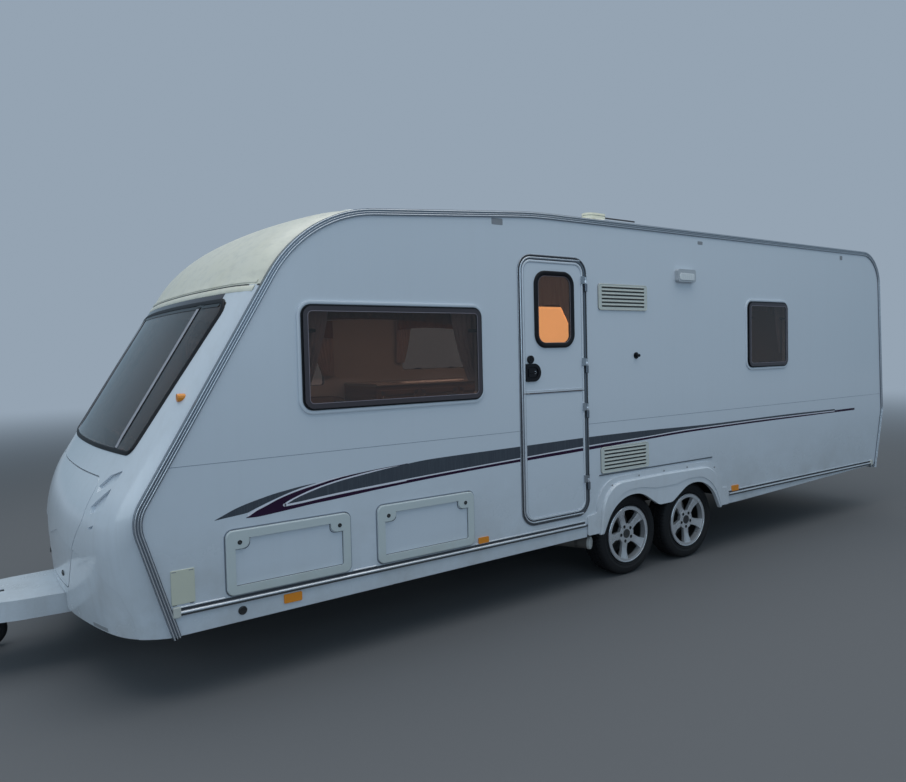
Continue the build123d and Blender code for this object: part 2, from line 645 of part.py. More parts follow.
# Roof lights: fixed frames through the roof and hinged lids above them
frames = []
for name, (x, half, top) in ROOF_LIGHTS.items():
    span = (x - half, x + half)
    ring = block(span, (-half, half), (top - 112, top))
    inner = half - LIGHT_FRAME
    ring -= block((x - inner, x + inner), (-inner, inner), (2400, 2700))
    frames.append(ring)
    base = half + 12
    lid = Solid.make_loft([
        Wire(path_edges([V(x + sx * size, sy * size, z)
                         for sx, sy in ((-1, -1), (1, -1), (1, 1), (-1, 1))], [40] * 4, True))
        for size, z in ((base, top + 6), (base, top + 22), (base - 45, top + 60))
    ], ruled=True)
    keep(name, lid)
keep("roof_light_frames", join(frames))

# Television aerial on its mast
roof_at_aerial = 2588.0
mast_low, pod_low, pod_high = roof_at_aerial + 14, roof_at_aerial + 172, roof_at_aerial + 212
boom_z = (pod_low + pod_high) / 2
pod_x, pod_y, boom_reach = 110.0, 60.0, 500.0
mast = rod(V(AERIAL_X, AERIAL_Y, mast_low), V(AERIAL_X, AERIAL_Y, pod_low), 14.0)
pod = prism_z([(x + AERIAL_X, y + AERIAL_Y) for x, y in corners((-pod_x, pod_x), (-pod_y, pod_y))],
              pod_low, pod_high, 55.0)
boom = rod(V(AERIAL_X - pod_x + 5, AERIAL_Y, boom_z), V(AERIAL_X - boom_reach, AERIAL_Y, boom_z), 6.0)
keep("aerial", join([mast, pod, boom]))
aerial_foot = rod(V(AERIAL_X, AERIAL_Y, roof_at_aerial - 48),
                  V(AERIAL_X, AERIAL_Y, roof_at_aerial + 12), 45.0)
keep("aerial_foot", (aerial_foot - WHOLE).solids().sort_by(Axis.Z)[-1])

# Chassis rails: channels open inwards, below the floor
rail_low = FLOOR_LOW - RAIL_DEEP
rail = block((RAIL_REAR, RAIL_FRONT), (RAIL_Y, RAIL_Y + RAIL_WIDTH), (rail_low, FLOOR_LOW))
rail -= block((RAIL_REAR - 1, RAIL_FRONT + 1), (RAIL_Y - 1, RAIL_Y + RAIL_WIDTH - STEEL),
              (rail_low + STEEL, FLOOR_LOW - STEEL))
keep("chassis_rails", join(both_sides(rail)))
cross = [block((x - 25, x + 25), (-RAIL_Y, RAIL_Y), (rail_low + 10, FLOOR_LOW)) for x in CROSS_X]
for name, (x, way, side) in STEADIES.items():
    y = (RAIL_Y + RAIL_WIDTH, STEADY_Y + 45)
    plates = [block((x - 40, x + 40), y, (FLOOR_LOW - 20, FLOOR_LOW))]
    for out in (-30, 24):
        cheek_y = (STEADY_Y + out, STEADY_Y + out + 6)
        plates.append(block((x - 22, x + 22), cheek_y, (STEADY_Z - 18, FLOOR_LOW)))
    plates.append(rod(V(x, STEADY_Y - 30, STEADY_Z), V(x, STEADY_Y + 30, STEADY_Z), 7.0))
    bracket = join(plates)
    cross.append(bracket if side > 0 else bracket.mirror(Plane.XZ))
keep("chassis_cross_members", join(cross))

# Drawbar arms run from the rails' ends to the coupling
arm_start_y = RAIL_Y + RAIL_WIDTH / 2
arm_points = [
    (RAIL_FRONT, arm_start_y + ARM_BOX_W / 2),
    (RAIL_FRONT, arm_start_y - ARM_BOX_W / 2),
    (ARM_END_X, 32.0),
    (ARM_END_X, 32.0 + ARM_BOX_W),
]
arm = prism_z(arm_points, ARM_LOW, ARM_HIGH)
arm_foot = block((RAIL_FRONT - 250, RAIL_FRONT), (RAIL_Y + 1, RAIL_Y + 44), (ARM_LOW, rail_low))
keep("drawbar_arms", join(both_sides(join([arm, arm_foot]))))

# Coupling head: draw tube between the arms and the socket over the tow ball
tube = rod(V(4240, 0, 352), V(COUPLING_X - 60, 0, 352), 31.0)
head = prism_y([(4560, 325), (4600, 420), (4690, 450), (4745, 440), (4752, 378), (4640, 378)],
               -38, 38, 10.0)
socket = rod(V(COUPLING_X, 0, 378), V(COUPLING_X, 0, 378 + SOCKET_DEEP), SOCKET_R)
coupling = join([tube, head, block((4430, 4500), (-32, 32), (ARM_LOW, ARM_HIGH))]) - socket
coupling_lever = prism_y([(4600, 440), (4560, 500), (4440, 515), (4440, 500), (4550, 480),
                          (4590, 420)], -14, 14, 4.0)
keep("coupling_head", join([coupling, coupling_lever]))
brake = [rod(V(4520, 0, 400), V(4300, 0, 455), 9.0), rod(V(4300, 0, 455), V(4180, 0, 480), 14.0)]
keep("handbrake_lever", join(brake) - join([coupling, coupling_lever]))

# Plastic cover over the drawbar arms
cover_plan = [(3700, COVER_HALF - 2), (4100, 262), (4330, 205), (4420, 120)]
cover_plan += [(x, -y) for x, y in cover_plan[::-1]]
cover = prism_z(cover_plan, 302, COVER_TOP - 2, [0, 200, 60, 40, 40, 60, 200, 0])
cover_in = [(x if x == 3700 else x - 6, y - 5 if y > 0 else y + 5) for x, y in cover_plan]
cover -= prism_z([(x - 1 if x == 3700 else x, y) for x, y in cover_in], 300, COVER_TOP - 8,
                 [0, 195, 55, 35, 35, 55, 195, 0])
cover_slot = block((4150, 4500), (-24, 24), (300, 500))
cover_mouth = block((4360, 4500), (-130, 130), (300, 394))
clamp_slot = block((JOCKEY_X - 45, JOCKEY_X + 45), (-400, -120), (300, 392))
keep("drawbar_cover", cover - cover_slot - cover_mouth - clamp_slot)

# Jockey wheel: clamp and outer tube, inner leg with fork, wheel
clamp = block((JOCKEY_X - 35, JOCKEY_X + 35), (JOCKEY_Y - 40, -132), (362, 388))
outer = rod(V(JOCKEY_X, JOCKEY_Y, JOCKEY_TUBE_LOW), V(JOCKEY_X, JOCKEY_Y, JOCKEY_TUBE_HIGH),
            JOCKEY_TUBE_R)
bore = rod(V(JOCKEY_X, JOCKEY_Y, JOCKEY_TUBE_LOW), V(JOCKEY_X, JOCKEY_Y, JOCKEY_TUBE_HIGH - 8),
           JOCKEY_LEG_R + 0.3)
CRANK_Z = JOCKEY_TUBE_HIGH + 10
crank = [rod(V(JOCKEY_X, JOCKEY_Y, JOCKEY_TUBE_HIGH), V(JOCKEY_X, JOCKEY_Y, CRANK_Z + 6), 8.0),
         rod(V(JOCKEY_X - 8, JOCKEY_Y, CRANK_Z), V(JOCKEY_X + 110, JOCKEY_Y, CRANK_Z), 6.0),
         rod(V(JOCKEY_X + 104, JOCKEY_Y, CRANK_Z), V(JOCKEY_X + 104, JOCKEY_Y, CRANK_Z - 60), 6.0)]
keep("jockey_clamp", join([clamp, outer] + crank) - bore - join([arm]).mirror(Plane.XZ))
keep("jockey_leg", rod(V(JOCKEY_X, JOCKEY_Y, FORK_TOP + 1), V(JOCKEY_X, JOCKEY_Y, 500),
                       JOCKEY_LEG_R))
axle_x = JOCKEY_X - JOCKEY_TRAIL
cheek = [(axle_x - 22, JOCKEY_R - 22), (axle_x + 22, JOCKEY_R - 22), (JOCKEY_X + 30, FORK_TOP),
         (JOCKEY_X - 50, FORK_TOP)]
inner_y = JOCKEY_WIDTH / 2 + GAP
cheeks = [prism_y(cheek, JOCKEY_Y + side, JOCKEY_Y + side + 5 * (1 if side > 0 else -1), 6.0)
          for side in (inner_y, -inner_y)]
crown = block((JOCKEY_X - 48, JOCKEY_X + 28), (JOCKEY_Y - inner_y, JOCKEY_Y + inner_y),
              (FORK_TOP - 14, FORK_TOP))
pin = rod(V(axle_x, JOCKEY_Y - inner_y - 12, JOCKEY_R), V(axle_x, JOCKEY_Y + inner_y + 12, JOCKEY_R),
          8.0)
keep("jockey_fork", join(cheeks + [crown, pin]))
jockey_tyre = rod(V(axle_x, JOCKEY_Y - JOCKEY_WIDTH / 2, JOCKEY_R),
                  V(axle_x, JOCKEY_Y + JOCKEY_WIDTH / 2, JOCKEY_R), JOCKEY_R)
jockey_tyre = fillet(jockey_tyre.edges().filter_by(GeomType.CIRCLE), 22)
pin_hole = rod(V(axle_x, -500, JOCKEY_R), V(axle_x, 0, JOCKEY_R), 8.3)
keep("jockey_wheel", jockey_tyre - pin_hole)

# Corner steadies, folded up under the floor
for name, (x, way, side) in STEADIES.items():
    y = side * STEADY_Y
    ends = sorted((x - way * 14, x + way * (STEADY_LENGTH - 30)))
    leg = block(ends, (y - 18, y + 18), (STEADY_Z - 14, STEADY_Z + 14))
    leg -= rod(V(x, y - 20, STEADY_Z), V(x, y + 20, STEADY_Z), 7.3)
    tip = x + way * (STEADY_LENGTH - 20)
    foot = block((tip - 10, tip + 10), (y - 45, y + 45), (STEADY_Z - 30, STEADY_Z + 20))
    keep(name, join([leg, foot]))

# Axles: hexagon tubes under the rails, trailing arms, stubs and brake drums
axle_parts = []
hex_r = AXLE_FLAT / 2 / cos(radians(30))
for hub_x in (AXLE_HALF, -AXLE_HALF):
    tube_x = hub_x + ARM_REACH
    tube_z = rail_low - AXLE_FLAT / 2
    hexagon = [(tube_x + hex_r * cos(radians(60 * i)), tube_z + hex_r * sin(radians(60 * i)))
               for i in range(6)]
    tube_half = BOX_IN_Y - 30
    pieces = [prism_y(hexagon, -tube_half, tube_half)]
    for side in (1, -1):
        arm_y = side * tube_half
        out = side * ARM_THICK
        pieces.append(rod(V(tube_x, arm_y, tube_z), V(tube_x, arm_y + out, tube_z), 46.0))
        pieces.append(rod(V(hub_x, arm_y, TYRE_R), V(hub_x, arm_y + out, TYRE_R), 40.0))
        link = [(tube_x, tube_z + 40), (tube_x, tube_z - 40), (hub_x, TYRE_R - 34),
                (hub_x, TYRE_R + 34)]
        pieces.append(prism_y(link, min(arm_y, arm_y + out), max(arm_y, arm_y + out)))
        drum_y = arm_y + out
        face_y = side * (WHEEL_Y + 30)
        pieces.append(rod(V(hub_x, drum_y, TYRE_R), V(hub_x, drum_y + side * 60, TYRE_R), DRUM_R))
        pieces.append(rod(V(hub_x, drum_y, TYRE_R), V(hub_x, face_y, TYRE_R), 60.0))
        pieces.append(rod(V(hub_x, face_y, TYRE_R), V(hub_x, side * (WHEEL_Y + 72), TYRE_R),
                          HUB_BORE_R - 0.3))
    axle_parts.append(join(pieces))
keep("axles", join(axle_parts))


# Road wheels
def revolved(points, radii):
    """Ring about the Y axis from a closed outline of (r, y)."""
    edges = path_edges([V(r, y, 0) for r, y in points], radii, closed=True)
    return Solid.revolve(Face(Wire(edges)), 360, Axis.Y)


half = TYRE_WIDTH / 2
bead_half = RIM_HALF - FLANGE_THICK
tyre_points = [(BEAD_R, -bead_half), (BEAD_R, bead_half), (FLANGE_R + 4, bead_half),
               (FLANGE_R + 40, half), (TYRE_R - 8, half - 6), (TYRE_R, half - 22),
               (TYRE_R, 22 - half), (TYRE_R - 8, 6 - half), (FLANGE_R + 40, -half),
               (FLANGE_R + 4, -bead_half)]
TYRE = revolved(tyre_points, [0, 0, 4, 30, 8, 10, 10, 8, 30, 4])
barrel = [(BARREL_R, -RIM_HALF), (FLANGE_R, -RIM_HALF), (FLANGE_R, -bead_half), (BEAD_R, -bead_half),
          (BEAD_R, bead_half), (FLANGE_R, bead_half), (FLANGE_R, RIM_HALF), (BARREL_R, RIM_HALF)]
rim_pieces = [revolved(barrel, [0] * 8)]
# Each spoke: its outline seen from the side of the caravan (r, half width) and across its thickness
# (r, y), so that it flares and rises from the hub to the rim
SPOKE_OUTLINE = [(20, 30), (70, 27), (130, 26), (BARREL_R + 5, 42)]
SPOKE_PROFILE = [(20, 40), (20, 64), (110, 67), (BARREL_R + 5, RIM_HALF - 3),
                 (BARREL_R + 5, 56), (110, 42)]
SPOKE_GROOVE = 3.0
HUB_FACE = 68.0
rim_pieces.append(rod(V(0, 32, 0), V(0, HUB_FACE, 0), HUB_R))
spoke_plan = SPOKE_OUTLINE + [(r, -w) for r, w in SPOKE_OUTLINE[::-1]]
spoke = prism_y(spoke_plan, 20, RIM_HALF, [0, 60, 40, 0, 0, 40, 60, 0])
profile = prism([V(r, y, -60) for r, y in SPOKE_PROFILE], V(0, 0, 120), [0, 0, 120, 0, 0, 0])
spoke &= profile
for side in (1, -1):
    groove_plan = [(88, side * 13), (170, side * 20), (170, side * 26), (88, side * 18)]
    spoke -= prism_y(groove_plan, 20, RIM_HALF) - Pos(0, -SPOKE_GROOVE, 0) * profile
for i in range(SPOKES):
    rim_pieces.append(spoke.rotate(Axis.Y, -360 / SPOKES * i))
rim = join(rim_pieces) - rod(V(0, 0, 0), V(0, 100, 0), HUB_BORE_R)
for i in range(SPOKES):
    angle = radians(360 / SPOKES * i)
    hole = V(BOLT_PCD / 2 * cos(angle), 0, BOLT_PCD / 2 * sin(angle))
    rim -= rod(hole, hole + V(0, 100, 0), BOLT_HOLE_R)
    rim -= rod(hole + V(0, HUB_FACE - 12, 0), hole + V(0, 100, 0), BOLT_SEAT_R)
# Wheels: x of the hub, side, turn of the first spoke from forward towards up
WHEELS = {
    "front_left": (AXLE_HALF, 1, -4.4),
    "front_right": (AXLE_HALF, -1, 21.0),
    "rear_left": (-AXLE_HALF, 1, -90.0),
    "rear_right": (-AXLE_HALF, -1, 38.0),
}
for name, (x, side, turn) in WHEELS.items():
    place = Pos(x, WHEEL_Y, TYRE_R)
    for kind, shape in (("tyre", TYRE), ("rim", rim.rotate(Axis.Y, -turn))):
        piece = place * shape
        keep(f"{kind}_{name}", piece if side > 0 else piece.mirror(Plane.XZ))

# Furniture seen through the windows and the door
inner_wall = INNER_Y - 4
furniture = []
locker_spaces = [
    block((x[0] + 20, min(x[1] - 20, 3150)), (460, INNER_Y), (FLOOR_TOP + 12, 800))
    for x, z in LOCKERS.values()
]
for side in (1, -1):
    y = sorted((side * 420, side * inner_wall))
    bench = block((1560, 3180), y, (FLOOR_TOP, 900)) & inside
    furniture.append(bench - locker_spaces)
furniture.append(block((3200, 3420), (-300, 300), (FLOOR_TOP, 1000)) & inside)
furniture.append(block((-60, 1540), (-inner_wall, -520), (FLOOR_TOP, 1400)) - boxes)
furniture.append(block((120, 745), (480, inner_wall), (FLOOR_TOP, 2350)) - boxes)
for side in (1, -1):
    y = sorted((side * 420, side * inner_wall))
    furniture.append(block((-1780, -750), y, (FLOOR_TOP, 900)))
keep("furniture", join(furniture))
washroom_wall = block((-1840, -1800), (-inner_wall, inner_wall), (FLOOR_TOP, 2480))
locker_wall = block((3440, 3460), (-1100, 1100), (FLOOR_TOP, 1180)) & inside
keep("bulkheads", join([washroom_wall, locker_wall]))
cushions = []
for side in (1, -1):
    y = sorted((side * 430, side * (inner_wall - 130)))
    back = sorted((side * (inner_wall - 130), side * inner_wall))
    for x in ((1570, 3020), (-1770, -760)):
        cushions.append(block(x, y, (900, 1040)))
        cushions.append(block(x, back, (1050, 1330)) & inside)
keep("cushions", join(cushions))

# Write every piece
REAR_X = min(piece.bounding_box().min.X for piece in PARTS.values())
FRONT_X = max(piece.bounding_box().max.X for piece in PARTS.values())
ORIGIN_X = (REAR_X + FRONT_X) / 2
print("length", FRONT_X - REAR_X, "origin x", ORIGIN_X, "nodes", len(PARTS))
os.makedirs("parts", exist_ok=True)
for name, piece in PARTS.items():
    export_step(Pos(-ORIGIN_X, 0, 0) * piece, f"parts/{name}.step")
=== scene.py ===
# Touring caravan on close-set twin axles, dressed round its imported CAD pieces, in metres.
# +X is forwards to the coupling, +Y is the side with the door, and the ground is at 0.
import math

import bmesh
import bpy
from mathutils import Matrix, Vector
from mathutils.bvhtree import BVHTree


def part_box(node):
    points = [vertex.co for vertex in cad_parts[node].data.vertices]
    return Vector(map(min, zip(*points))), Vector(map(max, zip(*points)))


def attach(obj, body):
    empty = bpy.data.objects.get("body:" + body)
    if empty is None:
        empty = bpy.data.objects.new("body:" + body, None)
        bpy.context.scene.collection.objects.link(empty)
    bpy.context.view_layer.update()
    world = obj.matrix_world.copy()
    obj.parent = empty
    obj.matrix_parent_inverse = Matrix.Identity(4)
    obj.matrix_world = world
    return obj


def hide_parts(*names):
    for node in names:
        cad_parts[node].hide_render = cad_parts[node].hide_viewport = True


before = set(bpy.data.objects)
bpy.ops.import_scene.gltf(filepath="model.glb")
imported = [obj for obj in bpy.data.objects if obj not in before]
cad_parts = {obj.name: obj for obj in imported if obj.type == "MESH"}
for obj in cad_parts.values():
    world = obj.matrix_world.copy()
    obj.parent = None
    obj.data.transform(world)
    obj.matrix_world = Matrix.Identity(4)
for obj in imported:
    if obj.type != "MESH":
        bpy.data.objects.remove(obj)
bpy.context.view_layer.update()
bpy.ops.object.select_all(action="DESELECT")
scene = bpy.context.scene
scene.view_settings.view_transform = "Standard"

# Camera
# It stands where the photograph was taken, a little above head height off the door side's
# nose, and was fitted to the edges of the body. Its shift is the optical axis's place in the frame.
image_width, image_height = 906, 782
axis_pixel = (478.8, 380.7)
focal_pixels = 723.8
camera_place = Vector((3.688, 4.761, 1.661))
camera_yaw, camera_pitch, camera_roll = (math.radians(a) for a in (35.842, -2.207, -1.284))
level_right = Vector((-math.cos(camera_yaw), math.sin(camera_yaw), 0))
forward = Vector((-math.sin(camera_yaw) * math.cos(camera_pitch),
                  -math.cos(camera_yaw) * math.cos(camera_pitch), math.sin(camera_pitch)))
level_up = level_right.cross(forward)
right = level_right * math.cos(camera_roll) + level_up * math.sin(camera_roll)
up = level_up * math.cos(camera_roll) - level_right * math.sin(camera_roll)
bpy.ops.object.camera_add(location=camera_place)
camera = bpy.context.object
camera.name = "camera"
camera.data.sensor_width = 36.0
camera.data.lens = focal_pixels / image_width * camera.data.sensor_width
camera.data.shift_x = (image_width / 2 - axis_pixel[0]) / image_width
camera.data.shift_y = (axis_pixel[1] - image_height / 2) / image_width
camera.data.clip_end = 200
turn = Matrix((right, up, -forward)).transposed().to_4x4()
camera.matrix_world = Matrix.Translation(camera_place) @ turn
scene.camera = camera

# Studio
# A grey floor that fades into a pale blue-grey backdrop, a wide soft lamp overhead, another on the
# camera's side, weaker ones ahead and behind, and a faint warm one under the cabin's ceiling.
floor_size = 90.0
bpy.ops.mesh.primitive_plane_add(size=floor_size, location=(0, 0, 0))
floor = bpy.context.object
floor.name = "studio_floor"


def node(tree, kind, **values):
    """A node of a tree. A value goes to its input or property, and an output is linked to its
    input; an underscore in an input's name is a space."""
    made = tree.nodes.new(kind)
    for key, value in values.items():
        label = key.replace("_", " ")
        if label not in made.inputs:
            setattr(made, key, value)
        elif isinstance(value, bpy.types.NodeSocket):
            tree.links.new(value, made.inputs[label])
        else:
            made.inputs[label].default_value = value
    return made


def either(tree, mask, first, second):
    """Shader that goes from the first node's to the second's with a mask."""
    mix = node(tree, "ShaderNodeMixShader", Fac=mask)
    for i, made in enumerate((first, second)):
        tree.links.new(made.outputs[0], mix.inputs[1 + i])
    return mix.outputs[0]


def shader(name, **inputs):
    """A new material, its nodes and its Principled shader with inputs set."""
    made = bpy.data.materials.new(name)
    made.use_nodes = True
    surface = made.node_tree.nodes["Principled BSDF"]
    for key, value in inputs.items():
        surface.inputs[key.replace("_", " ")].default_value = value
    return made, made.node_tree, surface


backdrop_colour = (0.30, 0.37, 0.45, 1)
floor_finish, tree, surface = shader("studio_floor", Base_Color=(0.17, 0.17, 0.175, 1), Roughness=0.8,
                                     Specular_IOR_Level=0.2)
place = node(tree, "ShaderNodeTexCoord")
distance = node(tree, "ShaderNodeVectorMath", operation="LENGTH", Vector=place.outputs["Object"])
fade = node(tree, "ShaderNodeMapRange", interpolation_type="SMOOTHSTEP", From_Min=6.0, From_Max=26.0,
            Value=distance.outputs["Value"])
far = node(tree, "ShaderNodeEmission", Color=backdrop_colour)
floor_shade = either(tree, fade.outputs[0], surface, far)
tree.links.new(floor_shade, tree.nodes["Material Output"].inputs["Surface"])
floor.data.materials.append(floor_finish)

studio_lamps = [
    # name, place, size, power, colour
    ("lamp_over", (0.5, 1.0, 8.5), (13, 9), 450, (1.0, 0.985, 0.95)),
    ("lamp_side", (3.0, 12.0, 4.5), (12, 6), 160, (0.64, 0.82, 1.0)),
    ("lamp_front", (12.0, 1.0, 4.0), (7, 5), 135, (0.74, 0.88, 1.0)),
    ("lamp_behind", (-9.0, -9.0, 5.0), (9, 5), 230, (1.0, 0.98, 0.94)),
    ("lamp_cabin", (0.0, 0.0, 2.15), (3.6, 1.0), 5, (1.0, 0.72, 0.55)),
]
for name, place, size, power, colour in studio_lamps:
    bpy.ops.object.light_add(type="AREA", location=place)
    lamp = bpy.context.object
    lamp.name = name
    lamp.data.shape = "RECTANGLE"
    lamp.data.size, lamp.data.size_y = size
    lamp.data.energy = power
    lamp.data.color = colour
    lamp.rotation_euler = (Vector((0, 0, 1.0)) - Vector(place)).to_track_quat("-Z", "Y").to_euler()

world = bpy.data.worlds.new("studio")
scene.world = world
world.use_nodes = True
sky = world.node_tree
sky.nodes.clear()
seen = node(sky, "ShaderNodeLightPath").outputs["Is Camera Ray"]
ambient = node(sky, "ShaderNodeBackground", Color=(0.56, 0.79, 1.0, 1), Strength=0.36)
backdrop = node(sky, "ShaderNodeBackground", Color=backdrop_colour, Strength=1.0)
sky_out = node(sky, "ShaderNodeOutputWorld")
sky.links.new(either(sky, seen, ambient, backdrop), sky_out.inputs["Surface"])

# Painted side walls
# Sheet aluminium glued to foam, painted white and bowed a little between its glue lines.
# Road film gathers towards the ground.
sides = ((1, "left"), (-1, "right"))


def new_group(name, output, **inputs):
    """A shader node group of numbers: its tree, its inputs, the way out and the object's own place."""
    group = bpy.data.node_groups.new(name, "ShaderNodeTree")
    for label, value in inputs.items():
        socket = group.interface.new_socket(label.replace("_", " "), in_out="INPUT",
                                            socket_type="NodeSocketFloat")
        socket.default_value = value
    group.interface.new_socket(output, in_out="OUTPUT", socket_type="NodeSocketFloat")
    given, result = node(group, "NodeGroupInput"), node(group, "NodeGroupOutput")
    place = node(group, "ShaderNodeTexCoord").outputs["Object"]
    return group, given.outputs, result.inputs[0], place


def maths(tree, operation, first, second, clamp=False, kind="ShaderNodeMath"):
    """Output of an operation on two outputs or numbers."""
    made = node(tree, kind, operation=operation)
    if clamp:
        made.use_clamp = True
    for socket, value in zip(made.inputs, (first, second)):
        if isinstance(value, float):
            socket.default_value = value
        else:
            tree.links.new(value, socket)
    return made.outputs[0]


# Road film: a mask that grows from one height down to another, broken up by noise
film, given, result, place = new_group("road_film", "Mask", Top=0.9, Bottom=0.3, Amount=0.5, Scale=3.0)
axes = node(film, "ShaderNodeSeparateXYZ", Vector=place)
height = node(film, "ShaderNodeMapRange", Value=axes.outputs["Z"], From_Min=given["Top"],
              From_Max=given["Bottom"])
blotch = node(film, "ShaderNodeTexNoise", Vector=place, Scale=given["Scale"], Detail=6.0, Roughness=0.65)
contrast = node(film, "ShaderNodeMapRange", Value=blotch.outputs["Fac"], From_Min=0.35, From_Max=0.75)
patchy = maths(film, "MULTIPLY", height.outputs[0], contrast.outputs[0])
film.links.new(maths(film, "MULTIPLY", patchy, given["Amount"], clamp=True), result)

# Rain streaks: a mask of narrow upright runs
streaks, given, result, place = new_group("rain_streaks", "Mask", Amount=0.4, Fineness=22.0, Length=0.8)
squeeze = node(streaks, "ShaderNodeCombineXYZ", X=given["Fineness"], Y=given["Fineness"],
               Z=given["Length"])
stretched = maths(streaks, "MULTIPLY", place, squeeze.outputs[0], kind="ShaderNodeVectorMath")
runs = node(streaks, "ShaderNodeTexNoise", Vector=stretched, Scale=1.0, Detail=5.0, Roughness=0.6)
narrow = node(streaks, "ShaderNodeMapRange", Value=runs.outputs["Fac"], From_Min=0.48, From_Max=0.72)
streaks.links.new(maths(streaks, "MULTIPLY", narrow.outputs[0], given["Amount"], clamp=True), result)

# Fine grain: a height for bumps, coarse waves and fine grain added
grain, given, result, place = new_group("surface_grain", "Height", Wave=1.0, Wave_scale=1.5, Grain=0.2,
                                        Grain_scale=300.0)
heights = []
for weight, detail in (("Wave", 2.0), ("Grain", 3.0)):
    noise = node(grain, "ShaderNodeTexNoise", Vector=place, Scale=given[weight + " scale"], Detail=detail)
    heights.append(maths(grain, "MULTIPLY", noise.outputs["Fac"], given[weight]))
grain.links.new(maths(grain, "ADD", *heights), result)

# Beyond: a mask that is 1 where the surface stands further out from the middle than an edge
beyond, given, result, place = new_group("beyond", "Mask", Edge=1.0, Soft=0.0006)
axes = node(beyond, "ShaderNodeSeparateXYZ", Vector=place)
width = node(beyond, "ShaderNodeMath", operation="ABSOLUTE", Value=axes.outputs["Y"])
past = maths(beyond, "SUBTRACT", width.outputs[0], given["Edge"])
sharpened = maths(beyond, "DIVIDE", past, given["Soft"])
beyond.links.new(maths(beyond, "ADD", sharpened, 0.5, clamp=True), result)


def use_group(tree, group, **values):
    """Output of one use of a node group, with its inputs set."""
    return node(tree, "ShaderNodeGroup", node_tree=group, **values).outputs[0]


def mixed(tree, mask, low, high):
    """Colour that goes from low to high with a mask; each is a colour or an output."""
    mix = node(tree, "ShaderNodeMix", data_type="RGBA", Factor=mask)
    for label, value in (("A", low), ("B", high)):
        socket = [s for s in mix.inputs if s.name == label and s.type == "RGBA"][0]
        if isinstance(value, tuple):
            socket.default_value = (*value, 1)
        else:
            tree.links.new(value, socket)
    return [s for s in mix.outputs if s.type == "RGBA"][0]


def level(tree, mask, low, high):
    """Number that goes from low to high with a mask."""
    return node(tree, "ShaderNodeMapRange", Value=mask, To_Min=low, To_Max=high).outputs[0]


def bump(tree, surface, height, strength, distance):
    """Bump on a shader from a height."""
    made = node(tree, "ShaderNodeBump", Height=height, Strength=strength, Distance=distance)
    tree.links.new(made.outputs[0], surface.inputs["Normal"])


def finish(name, colour, roughness, metallic=0.0, coat=0.0, dirt=(0.30, 0.27, 0.22), film_amount=0.5,
           film_top=0.9, film_bottom=0.25, streak_amount=0.0, streak_colour=(0.45, 0.43, 0.38),
           streak_fineness=22.0, streak_length=0.8, wave=0.0, wave_scale=1.5, grain_weight=0.2,
           grain_scale=300.0, strength=0.2, distance=0.002, shine=0.5):
    """A weathered surface: one colour under streaks and road film, with waves and grain in its bump."""
    made, tree, surface = shader(name, Metallic=metallic, Specular_IOR_Level=shine, Coat_Weight=coat,
                                 Coat_Roughness=0.12)
    shade = colour
    if streak_amount:
        run = use_group(tree, streaks, Amount=streak_amount, Fineness=streak_fineness,
                        Length=streak_length)
        shade = mixed(tree, run, shade, streak_colour)
    dust = use_group(tree, film, Amount=film_amount, Top=film_top, Bottom=film_bottom)
    tree.links.new(mixed(tree, dust, shade, dirt), surface.inputs["Base Color"])
    tree.links.new(level(tree, dust, roughness, min(roughness + 0.4, 0.95)), surface.inputs["Roughness"])
    rough = use_group(tree, grain, Wave=wave, Wave_scale=wave_scale, Grain=grain_weight,
                      Grain_scale=grain_scale)
    bump(tree, surface, rough, strength, distance)
    return made


def clean(name, colour, roughness=0.9, **values):
    """A surface without road film, as matt as cloth where nothing else is said."""
    return finish(name, colour, roughness, film_amount=0.0, **values)


def overlay(material, group, low=None, high=None, **values):
    """Mix a material's colour with another by a group's mask; None is the colour that it had."""
    tree = material.node_tree
    surface = tree.nodes["Principled BSDF"]
    under = surface.inputs["Base Color"].links[0].from_socket
    mask = use_group(tree, group, **values)
    tree.links.new(mixed(tree, mask, low or under, high or under), surface.inputs["Base Color"])
    return tree, surface, mask


def lit(material, colour, strength):
    """Painted light: a glow in a material that is no lamp."""
    surface = material.node_tree.nodes["Principled BSDF"]
    surface.inputs["Emission Color"].default_value = (*colour, 1)
    surface.inputs["Emission Strength"].default_value = strength


def dress(material, *names):
    """Give CAD nodes a material."""
    for name in names:
        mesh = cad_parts[name].data
        mesh.materials.clear()
        mesh.materials.append(material)


mid_x = (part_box("tyre_front_left")[0][0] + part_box("tyre_rear_left")[1][0]) / 2
wall_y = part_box("fridge_vents")[0][1]


def proud(name):
    """How far a CAD node stands out from the side walls, in mm."""
    return (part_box(name)[1][1] - wall_y) * 1000


def mesh_of(name, points, faces, merged=False):
    """A mesh with its faces turned outwards, and with its doubled points merged where asked."""
    mesh = bpy.data.meshes.new(name)
    mesh.from_pydata([tuple(p) for p in points], [], faces)
    shape = bmesh.new()
    shape.from_mesh(mesh)
    if merged:
        bmesh.ops.remove_doubles(shape, verts=shape.verts, dist=2e-6)
    bmesh.ops.recalc_face_normals(shape, faces=shape.faces)
    shape.to_mesh(mesh)
    shape.free()
    return mesh


def placed(name, mesh):
    """An object of a mesh in the scene."""
    made = bpy.data.objects.new(name, mesh)
    scene.collection.objects.link(made)
    return made


def piece(name, points, faces, material, body="caravan", *, sharp):
    """A piece of points and faces that rides on a body, smooth where it bends less than sharp."""
    mesh = mesh_of(name, points, faces, merged=True)
    mesh.shade_smooth()
    mesh.set_sharp_from_angle(angle=math.radians(sharp))
    mesh.materials.append(material)
    made = placed(name, mesh)
    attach(made, body)
    return made


